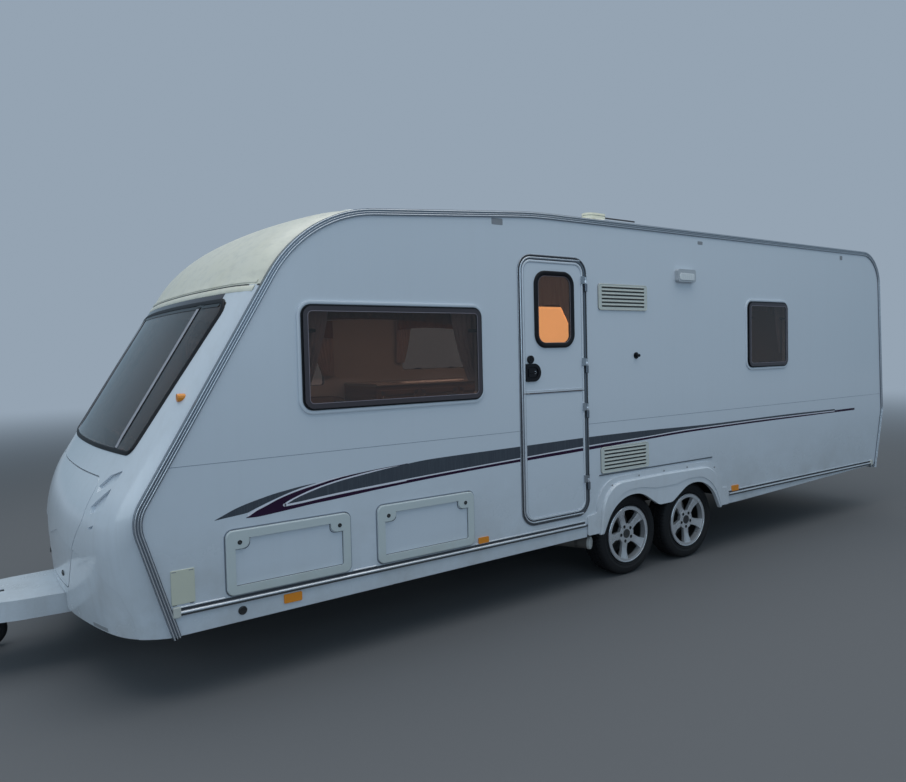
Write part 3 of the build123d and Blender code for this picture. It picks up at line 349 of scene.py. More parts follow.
def lofted(name, lanes, material, body="caravan", across=False, along=False, sharp=35, capped=True):
    """A surface over lanes of points. Across joins the last lane to the first, along closes
    each lane, and the ends that stay open are capped."""
    count, long = len(lanes), len(lanes[0])
    points = [p for lane in lanes for p in lane]
    faces = []
    for i in range(count if across else count - 1):
        j = (i + 1) % count
        for k in range(long if along else long - 1):
            m = (k + 1) % long
            faces.append((i * long + k, i * long + m, j * long + m, j * long + k))
    if capped and across and not along:
        faces += [tuple(i * long for i in range(count)),
                  tuple(i * long + long - 1 for i in range(count))]
    if capped and along and not across:
        faces += [tuple(range(long)), tuple(range((count - 1) * long, count * long))]
    return piece(name, points, faces, material, body, sharp=sharp)


def rounded(corners, closed, steps):
    """Points of an outline of (x, z, radius) corners, each corner an arc."""
    points = []
    for i, (x, z, radius) in enumerate(corners):
        here = Vector((x, z))
        if radius <= 0 or not closed and i in (0, len(corners) - 1):
            points.append(here)
            continue
        back = Vector(corners[i - 1][:2]) - here
        on = Vector(corners[(i + 1) % len(corners)][:2]) - here
        half = back.angle(on) / 2
        reach = min(radius / math.tan(half), 0.499 * back.length, 0.499 * on.length)
        back.normalize()
        on.normalize()
        middle = here + (back + on).normalized() * reach / math.cos(half)
        start, end = here + back * reach - middle, here + on * reach - middle
        swing = math.atan2(start.x * end.y - start.y * end.x, start.dot(end))
        for k in range(steps + 1):
            cos, sin = math.cos(swing * k / steps), math.sin(swing * k / steps)
            points.append(middle + Vector((start.x * cos - start.y * sin,
                                           start.x * sin + start.y * cos)))
    return points


def inset(points, distance, closed=True):
    """An outline moved to its left, which is inwards when it runs anticlockwise."""
    moved = []
    for i, here in enumerate(points):
        before = here - points[i - 1] if closed or i else points[1] - here
        after = points[(i + 1) % len(points)] - here if closed or i < len(points) - 1 else before
        before, after = before.normalized(), after.normalized()
        normal = Vector((-before.y - after.y, before.x + after.x)).normalized()
        moved.append(here + normal * distance / max(normal.dot(Vector((-before.y, before.x))), 0.4))
    return moved


def on_wall(point, out, side=1):
    """Place on a side wall, from x behind or ahead of the axles' middle, z and height in mm."""
    return mid_x + point[0] / 1000, side * (wall_y + out / 1000), point[1] / 1000


def moulding(name, corners, profile, material, body="caravan", closed=True, side=1, steps=5):
    """A strip of one section along an outline on a side wall; profile is (inwards, outwards)."""
    path = rounded(corners, closed, steps)
    lanes = [[on_wall(p, out, side) for p in inset(path, inward, closed)] for inward, out in profile]
    return lofted(name, lanes, material, body, across=True, along=closed)


def slab(name, corners, low, high, material, body="caravan", side=1, steps=5, *, edge):
    """A plate on a side wall with an eased outer edge, from low to high above the wall, in mm."""
    path = rounded(corners, True, steps)
    lanes = [[on_wall(p, out, side) for p in inset(path, inward)]
             for inward, out in ((0, low), (0, high - edge), (0.3 * edge, high - 0.3 * edge),
                                 (edge, high), (edge + 0.5, high))]
    return lofted(name, lanes, material, body, along=True)


def box_corners(x, z, radius):
    """Corners of an upright rectangle, anticlockwise from its low rear one."""
    return [(x[0], z[0], radius), (x[1], z[0], radius), (x[1], z[1], radius), (x[0], z[1], radius)]


def spun(name, profile, centre, axis, material, body="caravan", steps=32, ring=False):
    """A turned shape; profile is (radius, height along the axis) in metres, closed in a ring."""
    turn = Vector((0, 0, 1)).rotation_difference(Vector(axis)).to_matrix()
    lanes = []
    for radius, height in profile:
        lanes.append([Vector(centre) + turn @ Vector((
            radius * math.cos(2 * math.pi * k / steps), radius * math.sin(2 * math.pi * k / steps),
            height)) for k in range(steps)])
    return lofted(name, lanes, material, body, across=ring, along=True)


def bead(inward, width, low, high):
    """Section of a half-round bead: where it starts, its width, its foot and its height."""
    points = [(inward, low)]
    for k in range(7):
        angle = math.pi * k / 6
        points.append((inward + width / 2 * (1 - math.cos(angle)),
                       low + 0.3 + (high - low - 0.3) * math.sin(angle)))
    return points + [(inward + width, low)]


def flat(start, end, low, high):
    """Section of a flat strip: where it starts and ends, its foot and its height."""
    return [(start, low), (start, high), (end, high), (end, low)]


def ledge(name, span, z, profile, material, side=1):
    """A straight level strip on a side wall."""
    return moulding(name, [(span[1], z, 0), (span[0], z, 0)], profile, material, closed=False, side=side)


wall_paint = finish("wall_paint", (0.72, 0.77, 0.83), 0.24, coat=0.4, film_amount=0.5, film_top=1.0,
                    wave=1.0, wave_scale=1.3, grain_weight=0.02, strength=0.16, distance=0.01,
                    streak_amount=0.025, streak_colour=(0.5, 0.5, 0.47))
dress(wall_paint, "wall_left", "wall_right", "skirts", "roof")
joint_grey = finish("joint_grey", (0.30, 0.34, 0.40), 0.5, film_amount=0.3)
for side, name, spans in ((1, "left", ((-3395, 778), (1396, 3535))), (-1, "right", ((-3395, 3535),))):
    for i, (low, high) in enumerate(spans):
        slab(f"joint_line_{name}_{i}", box_corners((low, high), (1149, 1152), 0), 0, 0.5, joint_grey,
             side=side, edge=0.2)

# Stripes on the sides
# Vinyl: a charcoal band with fine upright brushing, a dark purple one under it and round its
# nose, and thin silver lines between. Each layer lies on the one below it.
charcoal_vinyl = finish("charcoal_vinyl", (0.060, 0.070, 0.088), 0.4, shine=0.3, streak_amount=0.6,
                        streak_fineness=260.0, streak_length=6.0, streak_colour=(0.12, 0.135, 0.155),
                        film_amount=0.1, film_top=1.1)
purple_vinyl = finish("purple_vinyl", (0.026, 0.004, 0.030), 0.4, shine=0.25, film_amount=0.06,
                      film_top=1.1)
silver_vinyl = finish("silver_vinyl", (0.88, 0.86, 0.92), 0.3, metallic=0.1, film_amount=0.1)
outer_grey_top = [(3323, 870.5), (3275, 891), (3224, 912), (3161, 931), (3102, 945), (3027, 961),
                  (2961, 971), (2888, 981), (2793, 990)]
outer_grey_low = [(3323, 869.5), (3265, 875), (3203, 880), (3156, 886), (3122, 899), (3057, 922),
                  (2985, 945), (2922, 963), (2864, 976), (2793, 989)]
outer_line_top = [(3150, 881), (3122, 896), (3057, 919), (2985, 943), (2922, 961), (2864, 974),
                  (2793, 987), (2712, 1001), (2600, 1011)]
purple_top = [(3168, 861), (3150, 868), (3113, 888), (3057, 909), (3010, 928), (2962, 943),
              (2913, 956), (2849, 969), (2789, 980), (2712, 994), (2623, 1006), (2437, 1022),
              (2293, 1029.5), (2200, 1028), (2100, 953), (1591, 974), (-3000, 1034)]
purple_low = [(3168, 859), (3105, 857), (3012, 864), (2916, 872), (2817, 881), (2715, 887),
              (2627, 893), (2440, 907), (2100, 927), (1591, 948), (1389, 954), (777, 972),
              (234, 990), (-243, 1005), (-772, 1012), (-1362, 1015), (-2857, 1016)]
inner_line_top = [(2968, 905), (2943, 917), (2914, 928), (2840, 952), (2764, 971), (2686, 986),
                  (2624, 996), (2437, 1018), (2293, 1027), (2240, 1028)]
charcoal_top = [(2951, 902), (2914, 920), (2840, 943), (2764, 963), (2686, 978), (2624, 988),
                (2437, 1011), (2293, 1026), (2097, 1041), (1722, 1048), (1386, 1052), (775, 1060),
                (232, 1059), (-501, 1049), (-1059, 1050), (-1684, 1052), (-2484, 1047)]
charcoal_low = [(2951, 900), (2866, 905), (2765, 914), (2626, 924), (2440, 934), (2099, 951),
                (1724, 966), (1388, 979), (777, 1002), (233, 1013), (-243, 1028), (-772, 1033),
                (-1362, 1037), (-2484, 1033)]


def follow(table, x):
    """Height of a table of (x, z) points at an x, smoothed between them."""
    for i in range(len(table) - 1):
        (x0, z0), (x1, z1) = table[i], table[i + 1]
        if x0 >= x >= x1:
            before, after = table[max(i - 1, 0)], table[min(i + 2, len(table) - 1)]
            slope0 = (z1 - before[1]) / (x1 - before[0])
            slope1 = (after[1] - z0) / (after[0] - x0)
            t, long = (x - x0) / (x1 - x0), x1 - x0
            return ((2 * t ** 3 - 3 * t ** 2 + 1) * z0 + (t ** 3 - 2 * t ** 2 + t) * long * slope0
                    + (3 * t ** 2 - 2 * t ** 3) * z1 + (t ** 3 - t ** 2) * long * slope1)
    return table[0][1] if x > table[0][0] else table[-1][1]


def stripe(name, top, low, span, out, material, body, side, shift):
    """A band of vinyl between two edges, cut to a span of x; shift moves its lower and upper edge."""
    xs = sorted({span[0], span[1]} | {x for x, _ in top + low if span[0] < x < span[1]}
                | {x for x in range(-3000, 3400, 60) if span[0] < x < span[1]})
    lanes = [[on_wall((x, follow(edge, x) + moved), height, side) for x in xs]
             for edge, moved, height in ((low, shift[0], 0.05), (low, shift[0], out),
                                         (top, shift[1], out), (top, shift[1], 0.05))]
    return lofted(name, lanes, material, body, across=True, sharp=50)


stripe_layers = [
    # name, upper edge, lower edge, rear end, front end, height, material, shift of the edges
    ("outer_grey", outer_grey_top, outer_grey_low, 2793, 3323, 0.5, charcoal_vinyl, (0, 0)),
    ("outer_line", outer_line_top, purple_top, 2600, 3160, 0.4, silver_vinyl, (-1, 0)),
    ("purple_nose", purple_top, purple_low, 2230, 3168, 0.6, purple_vinyl, (0, 0)),
    ("purple_band", purple_low, purple_low, -2857, 2230, 0.6, purple_vinyl, (0, 20)),
    ("inner_line_nose", inner_line_top, charcoal_low, 2240, 2968, 0.8, silver_vinyl, (-11, 0)),
    ("inner_line", charcoal_low, charcoal_low, -2484, 2240, 0.8, silver_vinyl, (-7.5, 1)),
    ("charcoal", charcoal_top, charcoal_low, -2484, 2951, 1.0, charcoal_vinyl, (0, 0)),
]
stripe_parts = [
    # name, span, body, side
    ("wall_front", (1394, 3400), "caravan", 1),
    ("door", (837, 1337), "door_lower_leaf", 1),
    ("wall_rear", (-3000, 781), "caravan", 1),
    ("wall_right", (-3000, 3400), "caravan", -1),
]
for layer, top, low, rear, front, out, material, shift in stripe_layers:
    for part, span, body, side in stripe_parts:
        start, end = max(span[0], rear), min(span[1], front)
        if start < end:
            stripe(f"stripe_{layer}_{part}", top, low, (start, end), out, material, body, side, shift)
for side, name in sides:
    slab(f"stripe_inner_line_tip_{name}", box_corners((2959, 2976), (888.5, 905.5), 8.4), 0.05, 0.8,
         silver_vinyl, side=side, edge=0.2, steps=6)

# Corner rails
# Aluminium extrusions over the walls' edges, with a ribbed dark insert between three bright beads.
rail_metal = finish("rail_metal", (0.20, 0.225, 0.26), 0.3, metallic=0.75, strength=0.1,
                    film_amount=0.2, film_top=1.4)
bright_metal = finish("bright_metal", (0.84, 0.86, 0.90), 0.18, metallic=0.75, film_amount=0.2,
                      strength=0.05)
# Dark grey of the rails' ribbed inserts, also used for the painted shadow round the lockers' panels
insert_and_shade_grey = finish("insert_and_shade_grey", (0.040, 0.045, 0.055), 0.45, film_amount=0.1)
dress(rail_metal, "corner_rails", "sill_trims", "door_frame")
rail_line = [(3524, 330, 0), (3695, 919, 200), (2806, 2433, 768), (1251, 2557, 4000),
             (-3342, 2570, 320), (-3417, 991, 150), (-3270, 400, 0)]
rail_out = proud("corner_rails")
rib_foot, rib_top = rail_out - 2.6, rail_out - 0.8
ribs = [(4.5, rail_out - 3.9)]
for i in range(3):
    ribs += [(5 + 4.2 * i, rib_foot), (6.5 + 4.2 * i, rib_top), (8 + 4.2 * i, rib_foot)]
ribs.append((17.5, rail_out - 3.9))
rail_beads = [
    # name, its start from the edge, width, foot and height on the rail's face
    ("outer", -5, 6, -0.5, 2),
    ("inner", 20, 6, -0.5, 2),
    ("middle", 8.5, 4.5, -1.5, 1),
]
for side, name in sides:
    moulding(f"rail_insert_{name}", rail_line, ribs, insert_and_shade_grey, closed=False, side=side, steps=14)
    for row, start, wide, low, high in rail_beads:
        moulding(f"rail_bead_{row}_{name}", rail_line, bead(start, wide, rail_out + low, rail_out + high),
                 bright_metal, closed=False, side=side, steps=14)

# Sill trims
# Two silver beads along the foot of each wall with a dark band between them, broken at the locker
# doors, and a moulded cap at each end. A dark strip under the lower bead is a painted shadow line.
cap_cream = finish("cap_cream", (0.66, 0.66, 0.60), 0.45, film_amount=0.3)
# Dark of real seams and gaps, also used for painted shadow lines
seam_and_shade_dark = finish("seam_and_shade_dark", (0.05, 0.05, 0.05), 0.7, film_amount=0.1)
sill_silver = finish("sill_silver", (0.80, 0.82, 0.86), 0.16, metallic=0.55, film_amount=0.12,
                     strength=0.05)
sill_spans = ((-3170, -806), (832, 3497))
upper_spans = {"left": (sill_spans[0], (832, 1764), (2448, 2593), (3287, 3497)), "right": sill_spans}
for side, name in sides:
    for i, span in enumerate(sill_spans):
        ledge(f"sill_bead_{name}_{i}", span, 455, bead(-8, 16, 0.5, 12.5), sill_silver, side)
        slab(f"sill_band_{name}_{i}", box_corners(span, (462.5, 475.8), 0), 0, 1.6, insert_and_shade_grey,
             side=side, edge=0.3)
        # Painted shadow: a dark strip under the lower bead
        slab(f"sill_shadow_line_{name}_{i}", box_corners(span, (440.5, 447.5), 0), 0, 8.6, seam_and_shade_dark,
             side=side, edge=0.3)
    for i, span in enumerate(upper_spans[name]):
        ledge(f"sill_line_{name}_{i}", span, 480, bead(-4.5, 9, 0.5, 6), sill_silver, side)
    for end, span in (("front", (3495, 3531)), ("rear", (-3200, -3164))):
        slab(f"sill_cap_{end}_{name}", box_corners(span, (434, 485), 7), 0, 14, cap_cream, side=side,
             edge=4)

# Reflectors and plates on the sides
# Amber reflectors and lamps, a beige cover plate, a black cap and small worn patches.
marker_amber = finish("marker_amber", (0.90, 0.30, 0.02), 0.2, coat=0.3, film_amount=0.05)
dress(marker_amber, "marker_lamps")
beige_plastic = finish("beige_plastic", (0.70, 0.70, 0.57), 0.5, film_amount=0.15)
patch_grey = finish("patch_grey", (0.30, 0.31, 0.33), 0.6)
black_plastic = finish("black_plastic", (0.015, 0.015, 0.017), 0.35, coat=0.2, film_amount=0.08)
screw_steel = finish("screw_steel", (0.45, 0.45, 0.44), 0.35, metallic=0.9)


def screw(name, point, out, radius, material, side=1):
    """A domed screw head on a side wall."""
    r = radius / 1000
    spun(name, [(r, 0), (r, 0.25 * r), (0.7 * r, 0.6 * r), (0.25 * r, 0.62 * r), (0.2 * r, 0.3 * r),
                (0, 0.3 * r)], on_wall(point, out, side), (0, side, 0), material, steps=16)


slab("beige_plate", box_corners((3426, 3535), (495, 660), 4), 0, 5, beige_plastic, edge=2)
for i, x in enumerate((3442, 3521)):
    slab(f"beige_plate_notch_{i}", box_corners((x - 11, x + 11), (651, 655), 1), 4, 5.4, patch_grey,
         edge=0.3)
    slab(f"beige_plate_foot_{i}", box_corners((x - 9, x + 9), (491.5, 495), 1), 0, 3, seam_and_shade_dark,
         edge=0.3)
spun("skirt_cap", [(0.022, 0), (0.022, 0.004), (0.017, 0.006), (0.015, 0.003), (0, 0.003)],
     on_wall((3201, 398), -2, 1), (0, 1, 0), black_plastic)
for i, (x, z, wide, high) in enumerate(((1543, 2478, 86, 40), (-465, 2484, 60, 26),
                                        (-2609, 2492, 44, 40))):
    slab(f"edge_patch_{i}", box_corners((x - wide / 2, x + wide / 2), (z - high / 2, z + high / 2), 5),
         0, 1.5, patch_grey, edge=0.6)

# Windows on the side walls
# Double acrylic panes that stand proud of a rubber seal, in a raised white ring. The pane's
# printed edge is dark, and its catches show inside. A pale bead along the print's inner edge is a
# painted highlight of the pane's rounded edge.
black_rubber = finish("black_rubber", (0.009, 0.009, 0.012), 0.5, shine=0.25, film_amount=0.06,
                      film_top=2.2)
dress(black_rubber, "window_seals", "wheel_boxes")
smoked, tree, surface = shader("smoked_acrylic", Base_Color=(0.46, 0.35, 0.30, 1), Roughness=0.015,
                               Transmission_Weight=1.0, IOR=1.5)
warp = use_group(tree, grain, Wave=1.0, Wave_scale=2.2, Grain=0.0, Grain_scale=50.0)
bump(tree, surface, warp, 0.25, 0.006)
dress(smoked, "front_window", "cabin_windows")
edge_print = finish("edge_print", (0.060, 0.050, 0.058), 0.12, film_amount=0.05)
# Painted highlight: a pale colour for the light on a pane's rounded edge
painted_highlight = finish("painted_highlight", (0.26, 0.22, 0.25), 0.2, film_amount=0.05)
side_windows = [
    # name, x range, z range of the seal, side
    ("front_left", (1689, 2853), (1376, 1937), 1),
    ("rear_left", (-1668, -1074), (1486, 2042), 1),
    ("front_right", (1689, 2853), (1376, 1937), -1),
    ("middle_right", (180, 980), (1486, 1980), -1),
    ("rear_right", (-1668, -1074), (1486, 2042), -1),
]
pane_out = proud("cabin_windows")
for name, x, z, side in side_windows:
    corners = box_corners(x, z, 60)
    moulding(f"window_ring_{name}", corners, bead(-20, 18, 7.5, 10), wall_paint, side=side, steps=8)
    moulding(f"pane_print_{name}", corners, [(9.5, pane_out - 1), (9.5, pane_out + 0.3),
                                             (36, pane_out + 0.3), (36, pane_out + 0.05)],
             edge_print, side=side, steps=8)
    # Painted highlight: a pale bead along the pane's printed edge
    moulding(f"pane_highlight_{name}", corners, bead(34.5, 3.5, pane_out, pane_out + 0.9), painted_highlight,
             side=side, steps=8)
    # Two catches along the foot and one up each side
    catches = [(x[0] + 216, z[0] + 36), (x[1] - 216, z[0] + 36), (x[1] - 52, z[1] - 139),
               (x[0] + 52, z[1] - 139)]
    for i, (cx, cz) in enumerate(catches):
        slab(f"window_catch_{name}_{i}", box_corners((cx - 30, cx + 30), (cz - 9, cz + 9), 6),
             -22, 6.5, black_plastic, side=side, edge=3)

# Curtains
# Thin lilac-grey curtains gathered at the ends of each window and tied back, under a patterned
# brown pelmet with a soft lower edge. All hang on a rail along the wall.
curtain_cloth = clean("curtain_cloth", (0.72, 0.66, 0.68), wave=0.3, wave_scale=30.0, grain_weight=1.0,
                      grain_scale=700.0, strength=0.5, distance=0.0006)
pelmet_cloth = clean("pelmet_cloth", (0.34, 0.20, 0.13), streak_amount=0.9, streak_fineness=45.0,
                     streak_length=30.0, streak_colour=(0.42, 0.30, 0.22), grain_weight=1.0,
                     grain_scale=700.0, strength=0.5, distance=0.0006)


def hung_cloth(name, material, x_top, x_low, z_top, foot, side, folds, depth, inward=60):
    """Gathered cloth: x of its two edges at the top and at the foot, the foot's height at the rear,
    in the middle and in front, and folds along its width."""
    across, down = folds * 8, 18
    lanes = []
    for j in range(down + 1):
        v = j / down
        lane = []
        for i in range(across + 1):
            u = i / across
            x = ((x_top[0] + (x_low[0] - x_top[0]) * v ** 1.5) * (1 - u)
                 + (x_top[1] + (x_low[1] - x_top[1]) * v ** 1.5) * u)
            end = foot[0] * (1 - u) ** 2 + 2 * foot[1] * u * (1 - u) + foot[2] * u ** 2
            wave = math.sin(2 * math.pi * folds * u + 0.6 * math.sin(5 * v + 3 * u))
            swell = depth * (0.75 + 0.35 * v) * wave + 2.0 * math.sin(9 * v + 11 * u)
            lane.append(on_wall((x + 0.25 * depth * math.cos(4 * math.pi * folds * u) * v,
                                 z_top + (end - z_top) * v), -inward + swell, side))
        lanes.append(lane)
    made = lofted(name, lanes, material, sharp=180)


for name, x, z, side in side_windows:
    rail_z = z[1] + 22
    rail = ledge(f"curtain_rail_{name}", (x[0] - 90, x[1] + 90), rail_z, flat(-5, 5, -64, -56),
                 cap_cream, side)
    # A curtain starts 40 mm outside its window's edge and is tied back to less than half its width
    wide = min((x[1] - x[0]) * 0.16, 190)
    curtain_low = z[0] + 0.2 * (z[1] - z[0])
    for end, edge, way in (("rear", x[0], 1), ("front", x[1], -1)):
        outer = edge - way * 40
        edges = sorted((outer, outer + way * (wide + 40)))
        tied = sorted((outer, outer + way * (0.45 * wide + 20)))
        hung_cloth(f"curtain_{end}_{name}", curtain_cloth, edges, tied, rail_z - 4, (curtain_low,) * 3,
                   side, 6, 9)
    edges = (x[0] - 30, x[1] + 30)
    hung_cloth(f"pelmet_{name}", pelmet_cloth, edges, edges, rail_z + 6,
               (z[1] - 125, z[1] - 40, z[1] - 92), side, 16, 5, inward=84)

# Door
# A silver frame with two beads, leaves edged with a narrow silver trim and a white bar where
# they meet, on four hinges with black end washers.
door_paint = finish("door_paint", (0.72, 0.77, 0.83), 0.26, coat=0.3, film_amount=0.35, film_top=0.9,
                    grain_weight=0.05, wave=0.6, wave_scale=2.0, strength=0.14, distance=0.006)
tree, surface, hinges = overlay(door_paint, beyond, high=(0.42, 0.45, 0.49), Edge=wall_y + 0.0058)
tree.links.new(level(tree, hinges, 0.0, 0.8), surface.inputs["Metallic"])
dress(door_paint, "door_upper", "door_lower")
door_out = 4.0
door_foot = door_out - 0.5
door_line = box_corners((783, 1391), (520, 2292), 110)
frame_strips = [
    # name, section, material
    ("edge", bead(0.5, 2.5, door_foot, door_out + 1.2), bright_metal),
    ("bead_outer", bead(3, 9, door_foot, door_out + 3.2), insert_and_shade_grey),
    ("groove", flat(12.2, 15.4, door_foot, door_out + 0.25), insert_and_shade_grey),
]
for name, section, material in frame_strips:
    moulding(f"door_frame_{name}", door_line, section, material, steps=10)
inner_line = [(845, 520, 0), (1391, 520, 110), (1391, 2292, 110), (845, 2292, 0)]
moulding("door_frame_bead_inner", inner_line, bead(16, 10, door_foot, door_out + 3.4), bright_metal,
         closed=False, steps=10)
trim_white = finish("trim_white", (0.76, 0.80, 0.85), 0.25, metallic=0.2, film_amount=0.2)
leaf_trims = [
    # name, corners of the leaf's outline from its split round to its split again, body
    ("lower", [(818, 1386, 0), (818, 555, 76), (1356, 555, 76), (1356, 1386, 0)], "door_lower_leaf"),
    ("upper", [(1356, 1391, 0), (1356, 2257, 76), (818, 2257, 76), (818, 1391, 0)], "door_upper_leaf"),
]
for name, line, body in leaf_trims:
    moulding(f"door_trim_{name}", line, bead(1.5, 14, 2.5, 5.5), trim_white, body, closed=False,
             steps=10)
    moulding(f"door_trim_line_{name}", line, flat(15.6, 17.4, 2.5, 3.1), joint_grey, body, closed=False,
             steps=10)
split_x = (836, 1338)
slab("door_split_bar", box_corners(split_x, (1390.5, 1406), 1), 2.5, 5, trim_white, "door_upper_leaf",
     edge=1.5)
slab("door_split_seal", box_corners(split_x, (1382, 1385.8), 1), 0.5, 3.2, joint_grey,
     "door_lower_leaf", edge=0.4)
hinge_x, hinge_out = 801, 14
for z, body in ((2115, "door_upper_leaf"), (1557, "door_upper_leaf"), (1248, "door_lower_leaf"),
                (750, "door_lower_leaf")):
    knuckle = on_wall((hinge_x, z), hinge_out)
    for i, (low, high, holder) in enumerate(((-0.0525, -0.0485, "caravan"), (0.0485, 0.0525, body))):
        spun(f"door_hinge_washer_{z}_{i}", [(0.0078, low), (0.0078, high)], knuckle, (0, 0, 1),
             black_plastic, holder, steps=16)
    spun(f"door_hinge_sleeve_{z}", [(0.0075, 0.004), (0.0079, 0.006), (0.0079, 0.024), (0.0075, 0.026)],
         knuckle, (0, 0, 1), bright_metal, body, steps=20)

# Door window
# A clear bronze pane in a thick black rubber ring, with a cream blind half way up and a thin
# curtain that hangs slanting over it. Blind and curtain glow as painted light.
pane_corners = box_corners((905, 1255), (1683, 2190), 92)
ring_profile = [(0, 0), (0, 7), (2, 11), (6, 13.6), (14, 14), (22, 12.6), (28, 9.4), (31, 7),
                (34, 6.2), (34, 0), (34, -24), (30, -24), (30, -2)]
door_ring = moulding("door_window_ring", pane_corners, ring_profile, black_rubber, "door_upper_leaf",
                     steps=10)
# Painted highlight: a pale bead round the door pane's edge
moulding("door_window_lip", pane_corners, bead(32.5, 3, 5.6, 7.2), painted_highlight, "door_upper_leaf",
         steps=10)
door_pane = slab("door_window_pane", box_corners((938, 1222), (1716, 2157), 60), 2.5, 6, smoked,
                 "door_upper_leaf", edge=0.5, steps=10)
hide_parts("door_window")
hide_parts("door_window")
glowing_blind_cloth = clean("glowing_blind_cloth", (0.92, 0.66, 0.42), 0.8, grain_weight=1.0, grain_scale=900.0,
                    strength=0.3, distance=0.0004)
# Painted light: the blind glows, standing in for light shining through it from behind
lit(glowing_blind_cloth, (1.0, 0.55, 0.22), 1.4)
blind_low, blind_high, pleat_count = 1716, 1950, 32
pleats = []
for k in range(pleat_count + 1):
    z = blind_low + (blind_high - blind_low) * k / pleat_count
    depth = -15 + (0.6 if k % 2 else -0.6)
    pleats.append([on_wall((x, z), depth + 0.4 * math.sin(x / 23)) for x in range(942, 1220, 12)])
blind_rail = slab("door_blind_rail", box_corners((940, 1220), (1947, 1955), 2), -19, -12, glowing_blind_cloth,
                  "door_upper_leaf", edge=1.5)
blind = lofted("door_blind", pleats, glowing_blind_cloth, "door_upper_leaf", sharp=20)
glowing_net_cloth = clean("glowing_net_cloth", (0.50, 0.38, 0.30), streak_amount=0.7, streak_fineness=60.0,
                  streak_length=5.0, streak_colour=(0.30, 0.20, 0.14), grain_scale=700.0, strength=0.4,
                  distance=0.0005)
# Painted light: a faint glow in the curtain
lit(glowing_net_cloth, (0.42, 0.28, 0.20), 0.12)
net_top, net_low = 2157, 1955
net_lanes = []
for k in range(17):
    v = k / 16
    lane = []
    for u in range(37):
        x = 940 + 280 * u / 36
        foot = net_low - max(0, 1022 - x) * 1.5 + 14 * math.sin(math.pi * u / 36)
        lane.append(on_wall((x, net_top + (foot - net_top) * v), -7 + 1.6 * math.sin(u * 1.5 + 2 * v)))
    net_lanes.append(lane)
net = lofted("door_curtain", net_lanes, glowing_net_cloth, "door_upper_leaf", sharp=180)

# Door handle
# Black moulded plate with one round side, its paddle in a dish, and the lock above.
handle_black = finish("handle_black", (0.009, 0.009, 0.012), 0.32, shine=0.3, grain_scale=900.0,
                      film_amount=0.05)
dress(handle_black, "door_handle", "door_catch")
spun("door_handle_key", [(0.0085, 0), (0.0085, 0.0012), (0.006, 0.002), (0.0028, 0.0016), (0, 0.0016)],
     on_wall((1269, 1525), 17.8), (0, 1, 0), bright_metal, "door_upper_leaf", steps=20)
spun("door_lock_ring", [(0.024, 0), (0.024, 0.0015), (0.020, 0.003), (0.016, 0.0012), (0.009, 0.0012),
                        (0.008, 0.0022), (0, 0.0026)],
     on_wall((1297, 1610), 11.8), (0, 1, 0), handle_black, "door_upper_leaf")
slab("door_handle_ridge", box_corners((1262, 1318), (1519, 1531), 5), 17, 20.5, handle_black,
     "door_upper_leaf", edge=2)

# Side locker doors
# A cream moulded frame with an ear for each lock, yellowed and dirty along its foot, round a
# white panel. The dark line along the frame's inner edge is a painted shadow.
locker_finish = finish("locker_finish", (0.70, 0.75, 0.81), 0.3, film_amount=0.25, film_top=0.62,
                       film_bottom=0.44, dirt=(0.34, 0.30, 0.24), streak_amount=0.05)
stain = use_group(locker_finish.node_tree, film, Amount=0.45, Top=0.56, Bottom=0.46, Scale=6.0)
cream = mixed(locker_finish.node_tree, stain, (0.64, 0.69, 0.68), (0.40, 0.36, 0.25))
overlay(locker_finish, beyond, high=cream, Edge=wall_y + 0.0065, Soft=0.001)
dress(locker_finish, "side_locker_door_front", "side_locker_door_middle")
lockers = [("front", (2599, 3281), (477, 813)), ("middle", (1770, 2442), (480, 820))]
for name, x, z in lockers:
    body = "side_locker_door_" + name
    moulding(f"locker_gap_{name}", box_corners(x, z, 42), flat(-2.5, 1.5, 0, 0.5), joint_grey, steps=8)
    low, ear, high = z[0] + 50, z[1] - 102, z[1] - 50
    panel_line = [(x[0] + 50, low, 8), (x[1] - 50, low, 8), (x[1] - 50, ear, 6), (x[1] - 124, ear, 38),
                  (x[1] - 124, high, 10), (x[0] + 122, high, 10), (x[0] + 122, ear, 38),
                  (x[0] + 50, ear, 6)]
    # Painted shadow: a dark line where the frame's inner edge meets the panel
    moulding(f"locker_panel_shadow_{name}", panel_line, flat(-0.5, 2.6, 1.8, 3.0), insert_and_shade_grey, body,
             steps=8)
    # x range of each ear and the radii of its lower corners
    ears = (((x[0] + 34, x[0] + 121), (4, 37)), ((x[1] - 123, x[1] - 34), (37, 4)))
    for i, (ends, radii) in enumerate(ears):
        ear_line = [(ends[0], ear + 1, radii[0]), (ends[1], ear + 1, radii[1]),
                    (ends[1], z[1] - 20, 6), (ends[0], z[1] - 20, 6)]
        slab(f"locker_ear_{name}_{i}", ear_line, 2.5, 14.2, locker_finish, body, edge=3.5, steps=8)
    for i, lock_x in enumerate((x[0] + 70, x[1] - 73)):
        spun(f"locker_lock_{name}_{i}",
             [(0.0115, 0), (0.0115, 0.0012), (0.0100, 0.0024), (0.0075, 0.0010), (0.0068, 0.0010),
              (0.0060, 0.0018), (0, 0.0018)],
             on_wall((lock_x, z[1] - 67), 14.2), (0, 1, 0), black_plastic, body, steps=24)
        slot = box_corners((lock_x - 0.9, lock_x + 0.9), (z[1] - 71, z[1] - 63), 0.4)
        slab(f"locker_slot_{name}_{i}", slot, 15.4, 16.6, screw_steel, body, edge=0.2)

# Fridge vents
# Cream moulded plates: the slots between their blades are painted dark as shade, and a screw
# holds each end.
vent_plastic = finish("vent_plastic", (0.66, 0.69, 0.64), 0.4, film_amount=0.35, streak_amount=0.25)
